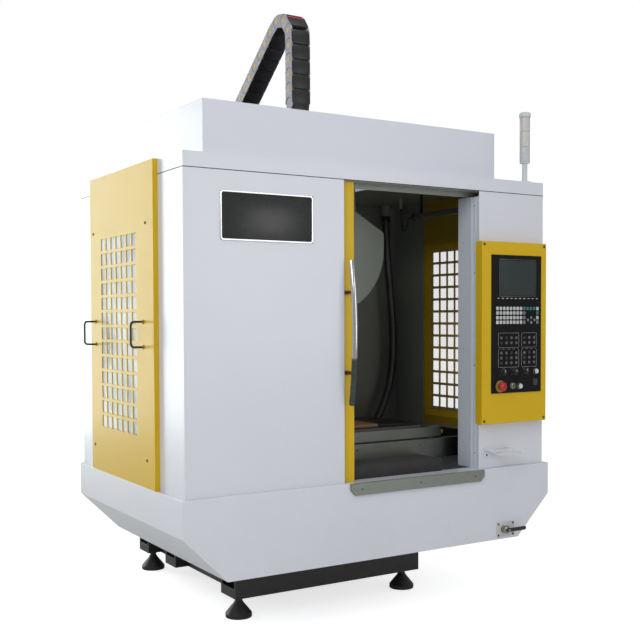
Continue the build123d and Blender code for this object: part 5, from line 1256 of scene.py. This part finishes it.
key_sets = {"white": bmesh.new(), "teal": bmesh.new(), "grey": bmesh.new()}
key_xs = [0.550 + 0.01883 * index for index in range(13)]
key_rows = (1.2696, 1.2504, 1.2306, 1.2114)
for row, key_z in enumerate(key_rows):
    for column, key_x in enumerate(key_xs):
        if row and 8 < column < 12:
            continue
        colour = "white"
        if row == 0 and 8 <= column < 12:
            colour = "teal"
        elif row and column == 8:
            colour = "grey"
        elif row and column == 12:
            colour = ("teal", "white", "grey")[row - 1]
        key_cap(key_sets[colour], key_x, key_z, 0.0142, 0.0147, key_face)
for key_x, key_z in ((0.7405, 1.2306), (0.7220, 1.2207), (0.7590, 1.2207), (0.7405, 1.2103)):
    key_cap(key_sets["grey"], key_x, key_z, 0.0117, 0.0117, key_face, pi / 4)
panel_keys = {"light": bmesh.new(), "dark": bmesh.new()}
panel_fields = ((0.615, 1.1352, 4, 2), (0.7305, 1.1352, 3, 2), (0.615, 1.0612, 4, 3), (0.7305, 1.0612, 3, 3))
for field_x, field_z, columns, rows in panel_fields:
    for i in range(columns):
        for j in range(rows):
            place_x = field_x + (i - (columns - 1) / 2) * 0.028
            place_z = field_z + (j - (rows - 1) / 2) * 0.021
            colour = "light" if (i * 3 + j * 5 + columns) % 4 else "dark"
            key_cap(panel_keys[colour], place_x, place_z, 0.0117, 0.0117, panel_key_face, 0.0, 0.0010)
key_cap(panel_keys["dark"], 0.766, 0.955, 0.0256, 0.0296, panel_key_face, 0.0, 0.0008)
key_colours = {
    "white": (0.50, 0.52, 0.52),
    "teal": (0.035, 0.16, 0.17),
    "grey": (0.17, 0.18, 0.185),
    "light": (0.11, 0.114, 0.114),
    "dark": (0.035, 0.036, 0.037),
}
for colour, solid in list(key_sets.items()) + list(panel_keys.items()):
    finish = satin(f"key_plastic_{colour}", key_colours[colour], 0.4, 0.3)
    piece(f"keys_{colour}", solid, base_body, (), finish)
dashes = bmesh.new()
for index in range(10):
    dash_x = 0.558 + index * 0.02405
    box(dashes, (dash_x - 0.0055, -0.9083, 1.3105), (dash_x + 0.0055, -0.9079, 1.3135), 0.0001)
outlines = ((0.558, 0.672, 1.1045, 1.1660), (0.688, 0.773, 1.1045, 1.1660),
            (0.558, 0.672, 1.0215, 1.0985), (0.688, 0.773, 1.0215, 1.0985))
for low_x, high_x, low_z, high_z in outlines:
    middle = ((low_x + high_x) / 2, low_z)
    corners = [middle, (high_x, low_z), (high_x, high_z), (low_x, high_z), (low_x, low_z), middle]
    sweep(dashes, bent_line([(x, print_face, z) for x, z in corners], 0.006, 6), 0.0004, 6)
print_white = satin("print_white", (0.5, 0.52, 0.52), 0.5)
piece("panel_marks", dashes, base_body, (), print_white)

# Rotary switches
# Three skirted knobs with knurled grips and a white pointer rib; a ring of white dial marks round each.
knob_places = {"knob_left": (0.583, 1.002), "knob_middle": (0.647, 1.002), "knob_right": (0.708, 1.004)}
knob_black = satin("knob_plastic", (0.013, 0.013, 0.014), 0.3)


def ribbed(radius, ribs):
    """The radius of a ribbed grip or lens at a turn."""
    return lambda turn: radius - 0.0005 * (1 + cos(turn * ribs)) / 2


marks = bmesh.new()
knurl = ribbed(0.0105, 18)
stem = [(0, -0.0115), (0.0057, -0.0115), (0.0057, 0.0)]
skirt = [(0.0148, 0.0), (0.0150, 0.0004), (0.0150, 0.0030), (0.0142, 0.0046), (0.0118, 0.0052)]
grip = [(knurl, 0.0058), (knurl, 0.0148), (0.0094, 0.0157), (0.0088, 0.0158), (0, 0.0155)]
for node, (knob_x, knob_z) in knob_places.items():
    knob = bmesh.new()
    lathe(knob, stem + skirt + grip, (knob_x, -0.9083, knob_z), (0, -1, 0), 72)
    piece(f"{node}_turned", knob, f"{node}_body", [node], knob_black)
    rib = bmesh.new()
    box(rib, (knob_x - 0.0010, -0.9255, knob_z + 0.0004), (knob_x + 0.0010, -0.9236, knob_z + 0.0092), 0.0003)
    piece(f"{node}_pointer", rib, f"{node}_body", (), print_white)
    for index in range(11):
        ends = [arc((knob_x, knob_z), reach, 225 - 27 * index, 0, 1)[0] for reach in (0.0185, 0.0210)]
        sweep(marks, [(x, print_face, z) for x, z in ends], 0.0004, 6)
piece("dial_marks", marks, base_body, (), print_white)

# Push buttons
# Start and stop: flat white caps with a soft edge, each inside a bright screwed bezel.
button_white = satin("button_white", (0.62, 0.62, 0.60), 0.22)
bezels = bmesh.new()
for node, (button_x, button_z) in {"start_button": (0.768, 1.001), "stop_button": (0.676, 0.940)}.items():
    button = bmesh.new()
    cap = [(0, -0.0165), (0.0056, -0.0165), (0.0056, 0.0), (0.0098, 0.0), (0.0100, 0.0003)]
    cap += [(0.0100, 0.0038), (0.0094, 0.0048), (0.0080, 0.0050), (0.0070, 0.0046), (0, 0.0044)]
    lathe(button, cap, (button_x, -0.9138, button_z), (0, -1, 0), 40)
    piece(f"{node}_cap", button, f"{node}_body", [node], button_white)
ring = [(0.0108, 0.0), (0.0131, 0.0), (0.0133, 0.0004)]
ring += [(0.0131, 0.0019), (0.0122, 0.0023), (0.0110, 0.0020), (0.0108, 0.0)]
for bezel_x, bezel_z in ((0.768, 1.001), (0.676, 0.940), (0.636, 0.943)):
    lathe(bezels, ring, (bezel_x, -0.9080, bezel_z), (0, -1, 0), 40)
weld(bezels)
piece("button_bezels", bezels, base_body, (), metal("bezel_metal", (0.45, 0.45, 0.45), 0.22))

# Emergency stop
# A red mushroom with arrows' ridges on its crown, latching when pressed, on a yellow ring whose colour is
# darkened as painted shade.
ring = bmesh.new()
lathe(ring, [(0.0118, 0.0001), (0.0250, 0.0001), (0.0253, 0.0006), (0.0253, 0.0020), (0.0245, 0.0025),
             (0.0120, 0.0026), (0.0118, 0.0001)], (0.568, -0.9080, 0.942), (0, -1, 0), 56)
weld(ring)
# The ring's yellow is darkened to a brown as painted shade.
ring_colour_in_shade = satin("emergency_ring_in_shade", (0.30, 0.19, 0.03), 0.42)
piece("emergency_ring", ring, base_body, (), ring_colour_in_shade)


def crown(turn, radius=0.0120):
    return radius * (1.0 + 0.02 * cos(turn * 3))


mushroom = bmesh.new()
stem = [(0, -0.0200), (0.0056, -0.0200), (0.0056, 0.0), (0.0110, 0.0005), (0.0196, 0.0015), (0.0200, 0.0024)]
dome = [(0.0200, 0.0055), (0.0192, 0.0088), (0.0172, 0.0112), (crown, 0.0131), (0.0060, 0.0138), (0, 0.0140)]
lathe(mushroom, stem + dome, (0.568, -0.9203, 0.942), (0, -1, 0), 56)
red_gloss = satin("mushroom_red", (0.42, 0.012, 0.014), 0.24)
piece("emergency_mushroom", mushroom, "emergency_stop_body", ["emergency_stop"], red_gloss)
sleeve = bmesh.new()
lathe(sleeve, [(0.0085, 0.0), (0.0095, 0.0), (0.0095, 0.0035), (0.0085, 0.0038), (0.0085, 0.0)],
      (0.568, -0.9104, 0.942), (0, -1, 0), 36)
weld(sleeve)
piece("emergency_sleeve", sleeve, base_body, (), knob_black)

# Key switch
# A bright barrel with a flat key in it; the bow is stamped brass-coloured steel with a hole for a ring.
barrel = bmesh.new()
barrel_profile = [(0, -0.0120), (0.0056, -0.0120), (0.0056, 0.0), (0.0108, 0.0), (0.0110, 0.0004)]
barrel_profile += [(0.0110, 0.0078), (0.0100, 0.0090), (0, 0.0090)]
lathe(barrel, barrel_profile, (0.636, -0.9098, 0.943), (0, -1, 0), 40)
barrel_metal = metal("key_barrel_metal", (0.40, 0.40, 0.40), 0.24)
piece("key_barrel", barrel, "key_switch_body", ["key_switch"], barrel_metal)
bow_mesh = bmesh.new()
bow_outline = [(-0.9187, 0.9405), (-0.9187, 0.9455), (-0.9215, 0.9462), (-0.9228, 0.9520), (-0.9260, 0.9530)]
bow_outline += [(-0.9295, 0.9520), (-0.9307, 0.9470), (-0.9307, 0.9390), (-0.9295, 0.9340), (-0.9260, 0.9330)]
bow_outline += [(-0.9228, 0.9340), (-0.9215, 0.9398)]
slab(bow_mesh, bow_outline, 0.6349, 0.6371, 0.0004)
piece("key_bow", bow_mesh, "key_switch_body", (), metal("key_metal", (0.36, 0.32, 0.2), 0.3))

# Nameplate
# A bare dark plate in a bright anodised rim with rounded inner corners, held by a small screw at each corner.
plate_mesh = bmesh.new()
box(plate_mesh, (-0.7035, -0.8668, 1.5145), (-0.3275, -0.8652, 1.6835), 0.0002)
plate_dark = satin("plate_dark", (0.018, 0.019, 0.020), 0.3)
piece("nameplate_field", plate_mesh, base_body, (), plate_dark)


def rounded_rectangle(low_x, high_x, low_z, high_z, radius, steps=6):
    """Corner points of a rounded rectangle in the plane of the front, anticlockwise from its lower right."""
    outline = []
    centres = ((high_x, low_z, -90), (high_x, high_z, 0), (low_x, high_z, 90), (low_x, low_z, 180))
    for x, z, first in centres:
        centre_x = x - radius if x == high_x else x + radius
        centre_z = z - radius if z == high_z else z + radius
        outline += arc((centre_x, centre_z), radius, first, 90, steps)
    return outline


rim = bmesh.new()
outer = rounded_rectangle(-0.707, -0.324, 1.511, 1.687, 0.0012)
outer_soft = rounded_rectangle(-0.7066, -0.3244, 1.5114, 1.6866, 0.0012)
inner_soft = rounded_rectangle(-0.7024, -0.3286, 1.5156, 1.6824, 0.0078)
inner = rounded_rectangle(-0.7020, -0.3290, 1.5160, 1.6820, 0.0075)
layers = ((outer, -0.8651), (outer, -0.8686), (outer_soft, -0.8690), (inner_soft, -0.8690), (inner, -0.8686),
          (inner, -0.8651), (outer, -0.8651))
bridge(rim, [[rim.verts.new((x, y, z)) for x, z in outline] for outline, y in layers])
weld(rim, 0.00001)
bmesh.ops.recalc_face_normals(rim, faces=rim.faces)
rim_metal = metal("plate_rim_metal", (0.55, 0.56, 0.57), 0.22, grain=(1, 1, 1), scale=300.0, tarnish=0.15)
piece("nameplate_rim", rim, base_body, ["nameplate"], rim_metal)

# Holder bracket
# A folded shelf in the cabin's white with two slots for hand tools, its front corners rounded,
# screwed on under the control box.
shelf = bmesh.new()
shelf_low_x, shelf_high_x, shelf_back, shelf_front = 0.515, 0.650, -0.868, -0.965
slope_drop = 0.014 / 0.100


def shelf_top(y):
    """Height of the sloping shelf's upper face at a distance from the wall."""
    return 0.676 - slope_drop * (-0.865 - y)


outline = [(shelf_low_x, shelf_back)]
corner = 0.016
outline += arc((shelf_low_x + corner, shelf_front + corner), corner, 180, 90, 8)
outline += arc((shelf_high_x - corner, shelf_front + corner), corner, 270, 90, 8)
outline.append((shelf_high_x, shelf_back))
slots = []
for slot_x in (0.5515, 0.6135):
    right_end = arc((slot_x + 0.012, -0.915), 0.011, -90, 180, 12)
    slots.append(right_end + arc((slot_x - 0.012, -0.915), 0.011, 90, 180, 12))


def pierced_sheet(solid, outline, holes, top, thickness):
    """A sheet with holes: its flat faces filled between the outline and the holes, its edges walled."""
    edges, rims = [], []
    for ring in [outline] + holes:
        verts = [solid.verts.new((x, y, top(y))) for x, y in ring]
        rims.append(verts)
        edges += [solid.edges.new((verts[i], verts[(i + 1) % len(verts)])) for i in range(len(verts))]
    filled = bmesh.ops.triangle_fill(solid, edges=edges, use_beauty=True, use_dissolve=False)
    faces = [item for item in filled["geom"] if isinstance(item, bmesh.types.BMFace)]
    extruded = bmesh.ops.extrude_face_region(solid, geom=faces)
    moved = [item for item in extruded["geom"] if isinstance(item, bmesh.types.BMVert)]
    bmesh.ops.translate(solid, verts=moved, vec=(0, 0, -thickness))
    bmesh.ops.recalc_face_normals(solid, faces=solid.faces)


pierced_sheet(shelf, outline, slots, shelf_top, 0.0030)
box(shelf, (0.515, -0.868, 0.642), (0.650, -0.8652, 0.6755), 0.0006)
shelf_mesh = broken_edges(mesh_of("holder_shelf", shelf), 0.0006, 40.0)
piece("holder_shelf", shelf_mesh, base_body, ["holder_bracket"], white_enamel)
screws("holder_screws", [(x, -0.868, 0.651) for x in (0.530, 0.635)], "-y", base_body, 0.7)

# Service port
# A pale screwed plate with a brass-bodied ball valve; a black lever on its spindle opens it.
valve_x, valve_z = 0.609, 0.331
plate_mesh = bmesh.new()
box(plate_mesh, (0.572, -0.888, 0.299), (0.667, -0.8842, 0.361), 0.0008)
port_enamel = enamel("port_enamel", (0.55, 0.56, 0.56), rough=0.4)
piece("service_plate", plate_mesh, base_body, (), port_enamel)
valve = bmesh.new()
body = [(0, 0.0), (hexagon(0.0168), 0.0), (hexagon(0.0168), 0.0075), (0.0138, 0.0085), (0.0138, 0.0105)]
body += [(0.0165, 0.0125), (0.0170, 0.0150), (0.0165, 0.0200), (0.0130, 0.0225), (0.0080, 0.0235)]
body += [(0.0080, 0.0260), (0.0050, 0.0262), (0.0050, 0.0395), (0.0042, 0.0400), (0, 0.0400)]
lathe(valve, body, (valve_x, -0.888, valve_z), (0, -1, 0), 48)
valve_metal = metal("valve_metal", (0.34, 0.31, 0.25), 0.3)
piece("ball_valve", valve, base_body, ["service_port"], valve_metal)
lever = bmesh.new()
lever_outline = arc((valve_x + 0.092, valve_z), 0.008, -90, 180, 12)
lever_outline += arc((valve_x, valve_z), 0.008, 90, 180, 12)
bore = arc((valve_x, valve_z), 0.0053, 0, 360, 24)[:-1]
pierced_sheet(lever, lever_outline, [bore], lambda z: 0.0, 0.0042)
for vert in lever.verts:
    vert.co = Vector((vert.co.x, -0.9190 - vert.co.z, vert.co.y))
bmesh.ops.recalc_face_normals(lever, faces=lever.faces)
lever_mesh = broken_edges(mesh_of("valve_lever_plate", lever), 0.0006, 40.0)
lever_black = satin("lever_vinyl", (0.014, 0.014, 0.015), 0.3)
piece("valve_lever_plate", lever_mesh, "valve_lever_body", ["valve_lever"], lever_black)

# Signal tower
# A near-white lamp stack on a stem on the roof's front corner: three opal lenses with fine prisms
# between thin grooves, unlit, under a domed cap.
tower_base = (0.780, -0.825, 1.816)
mount = bmesh.new()
foot = [(0, 0.0), (0.0250, 0.0), (0.0260, 0.0010), (0.0260, 0.0040), (0.0235, 0.0060), (0.0125, 0.0066)]
stem = [(0.0112, 0.0080), (0.0110, 0.0820), (0.0125, 0.0835), (0.0205, 0.0850)]
stem += [(0.0218, 0.0870), (0.0218, 0.0898), (0, 0.0899)]
lathe(mount, foot + stem, tower_base, (0, 0, 1), 56)
tower_white = satin("tower_white", (0.62, 0.64, 0.66), 0.34)
piece("tower_mount", mount, base_body, ["signal_tower"], tower_white)
prisms = ribbed(0.0220, 36)
stack_height = 0.306 - 0.006 - 0.084 - 0.022
lens_height = stack_height / 3
for index, colour in enumerate(((0.50, 0.54, 0.55), (0.55, 0.56, 0.53), (0.56, 0.54, 0.52))):
    lens = bmesh.new()
    low = 0.0900 + index * lens_height
    high = low + lens_height
    body = [(0, low), (0.0200, low), (0.0216, low + 0.0008), (prisms, low + 0.0028), (prisms, high - 0.0044)]
    body += [(0.0216, high - 0.0026), (0.0200, high - 0.0018), (0.0200, high), (0, high)]
    lathe(lens, body, tower_base, (0, 0, 1), 144)
    lens_name = f"tower_lens_{index + 1}"
    piece(lens_name, lens, base_body, (), satin(lens_name, colour, 0.2))
cap = bmesh.new()
cap_low = 0.0900 + stack_height
cap_profile = [(0, cap_low), (0.0244, cap_low), (0.0250, cap_low + 0.0010), (0.0250, cap_low + 0.0110)]
cap_profile += [(0.0235, cap_low + 0.0165), (0.0190, cap_low + 0.0200)]
cap_profile += [(0.0100, cap_low + 0.0216), (0, cap_low + 0.0219)]
lathe(cap, cap_profile, tower_base, (0, 0, 1), 56)
piece("tower_cap", cap, base_body, (), tower_white)

# Electrical cabinet
# A folded cabinet in light grey texture paint on the column's back, with its drives on a plate inside,
# a hinged door with two banks of louvres, and the main switch on the door.


def texture_paint(name, colour):
    """Powder coat with a leathery texture."""

    def values(nodes):
        leather = nodes.noise(330.0, 2.0, 0.45)
        cloud = nodes.noise(2.0, 4.0)
        return {
            "Base Color": nodes.mix(cloud, shade(tint(colour, 0.92)), shade(tint(colour, 1.06))),
            "Roughness": 0.42 + (leather - 0.5) * 0.2,
            "Normal": nodes.bump(leather, 0.0002, 0.6),
        }

    return surface(name, values)


cabinet_grey = texture_paint("cabinet_grey_finish", (0.47, 0.48, 0.47))
dressed("electrical_cabinet", cabinet_grey, 0.0010)
dressed("cabinet_door", cabinet_grey, 0.0008)
hoods = bmesh.new()
hood = [(0.0, 0.011), (0.0016, 0.0108), (0.0068, 0.0052), (0.0072, 0.0036)]
hood += [(0.0060, 0.0040), (0.0004, 0.0088), (0.0, 0.0090)]
for bank_z in (0.620, 1.720):
    for index in range(7):
        slot_z = bank_z + (index - 3) * 0.022
        low = Vector((0, 0.9352, slot_z - 0.002))
        rows = []
        for x, squeeze in ((-0.1200, 0.25), (-0.1140, 1.0), (0.1140, 1.0), (0.1200, 0.25)):
            rows.append([hoods.verts.new((x, low.y + out * squeeze, low.z + up)) for out, up in hood])
        for left, right in zip(rows, rows[1:]):
            for i in range(len(hood)):
                after = (i + 1) % len(hood)
                hoods.faces.new((left[i], right[i], right[after], left[after]))
        hoods.faces.new(rows[0])
        hoods.faces.new(rows[-1][::-1])
bmesh.ops.recalc_face_normals(hoods, faces=hoods.faces)
piece("louvre_hoods", hoods, "cabinet_door_body", (), cabinet_grey)

# Main switch
# A rotary isolator: a yellow backing disc and a red handle with a raised grip, on the cabinet's door.
backing, handle = bmesh.new(), bmesh.new()
ring = [(0.0062, 0.0), (0.0370, 0.0), (0.0375, 0.0005), (0.0370, 0.0012), (0.0062, 0.0014), (0.0062, 0.0)]
lathe(backing, ring, (0.200, 0.9390, 1.450), (0, 1, 0), 56)
weld(backing)
switch_yellow = satin("switch_yellow", (0.6, 0.38, 0.02), 0.4)
piece("switch_backing", backing, "cabinet_door_body", (), switch_yellow)
disc = [(0, -0.0060), (0.0056, -0.0060), (0.0056, 0.0015), (0.0275, 0.0018), (0.0280, 0.0026)]
disc += [(0.0275, 0.0110), (0.0255, 0.0126), (0, 0.0128)]
lathe(handle, disc, (0.200, 0.9390, 1.450), (0, 1, 0), 64)
box(handle, (0.1935, 0.9510, 1.4235), (0.2065, 0.9645, 1.4765), 0.0022)
piece("switch_handle", handle, "main_switch_body", ["main_switch"], red_gloss)

# Fixture board
# A brown phenolic board lies clamped at the table's left; a small yellow stop is screwed to its guard's end.


def board_values(nodes):
    weave = nodes.noise(120.0, 4.0, 0.6, nodes.stretched((1.0, 0.25, 1.0)))
    stain = nodes.noise(8.0, 5.0, 0.6)
    return {
        "Base Color": nodes.mix(stain, (0.17, 0.095, 0.050, 1.0), (0.30, 0.175, 0.095, 1.0)),
        "Roughness": 0.45 + weave * 0.2,
        "Normal": nodes.bump(weave, 0.0001, 0.5),
    }


board = bmesh.new()
box(board, (-0.330, -0.610, 0.7703), (0.150, -0.330, 0.7823), 0.0012)
piece("fixture_board", board, "table_body", (), surface("phenolic_board", board_values))
stop = bmesh.new()
box(stop, (0.4502, -0.630, 0.7230), (0.4850, -0.595, 0.7400), 0.0016)
piece("fixture_stop", stop, "table_body", (), yellow_enamel)

# Studio
# A white floor, a level white world that the camera sees brighter than it lights, and four soft lights:
# a key high at the left front, a window behind at the left, a fill at the right front and one above.
floor_mesh = bmesh.new()
bmesh.ops.create_grid(floor_mesh, x_segments=2, y_segments=2, size=30.0)
for vert in floor_mesh.verts:
    vert.co.z = -0.0003
floor_data = mesh_of("floor", floor_mesh)
floor_material = bpy.data.materials.new("floor_white")
floor_nodes = empty_tree(floor_material)
matt = floor_nodes.node("ShaderNodeBsdfDiffuse", None, {0: (0.90, 0.90, 0.90, 1.0)})
seen = floor_nodes.node("ShaderNodeLightPath", out="Is Camera Ray")
glow = floor_nodes.node("ShaderNodeEmission", None, {0: (1.0, 1.0, 1.0, 1.0), 1: seen * 0.72})
both = floor_nodes.node("ShaderNodeAddShader", None, {0: matt, 1: glow})
floor_nodes.output("ShaderNodeOutputMaterial", both)
floor_data.materials.append(floor_material)
floor = linked("floor", floor_data)

world = bpy.data.worlds.new("studio")
bpy.context.scene.world = world
world_nodes = empty_tree(world)
seen = world_nodes.node("ShaderNodeLightPath", out="Is Camera Ray")
seen = seen + world_nodes.node("ShaderNodeLightPath", out="Is Transmission Ray")
level = world_nodes.node("ShaderNodeMix", {"data_type": "FLOAT"}, {0: seen, 2: 0.36, 3: 1.0})
sky = world_nodes.node("ShaderNodeBackground", None, {0: (1.0, 1.0, 1.0, 1.0), 1: level})
world_nodes.output("ShaderNodeOutputWorld", sky)


def soft_light(name, place, target, size, power, colour=(1.0, 1.0, 1.0)):
    """A large area light aimed at a point."""
    data = bpy.data.lights.new(name, "AREA")
    data.shape = "RECTANGLE"
    data.size, data.size_y = size
    data.energy = power
    data.color = colour
    made = linked(name, data)
    made.location = place
    way = Vector(target) - Vector(place)
    made.rotation_euler = way.to_track_quat("-Z", "Y").to_euler()


soft_light("key", (-4.2, -3.6, 3.6), (0, -0.5, 1.1), (2.6, 2.6), 100.0)
soft_light("window", (-2.7, 4.6, 1.75), (-0.86, -0.3, 1.3), (2.4, 3.2), 92.0, (0.93, 1.0, 0.96))
soft_light("fill", (2.6, -6.2, 1.8), (0.5, -0.8, 1.2), (2.4, 2.4), 42.0)
soft_light("top", (0.4, -2.2, 5.2), (0, -0.3, 1.9), (3.0, 3.0), 38.0)

camera_data = bpy.data.cameras.new("camera")
camera_data.sensor_width = 36.0
camera_data.lens = 55.6
camera_data.shift_y = 0.0489
camera_data.clip_end = 60.0
camera = linked("camera", camera_data)
camera.location = (-2.2471, -4.0442, 1.2335)
turned = Matrix.Rotation(radians(-31.57), 4, "Z") @ Matrix.Rotation(radians(90 - 1.95), 4, "X")
camera.rotation_euler = (turned @ Matrix.Rotation(radians(-0.19), 4, "Z")).to_euler()
bpy.context.scene.camera = camera
bpy.context.scene.view_settings.view_transform = "Standard"
bpy.context.scene.view_settings.look = "None"
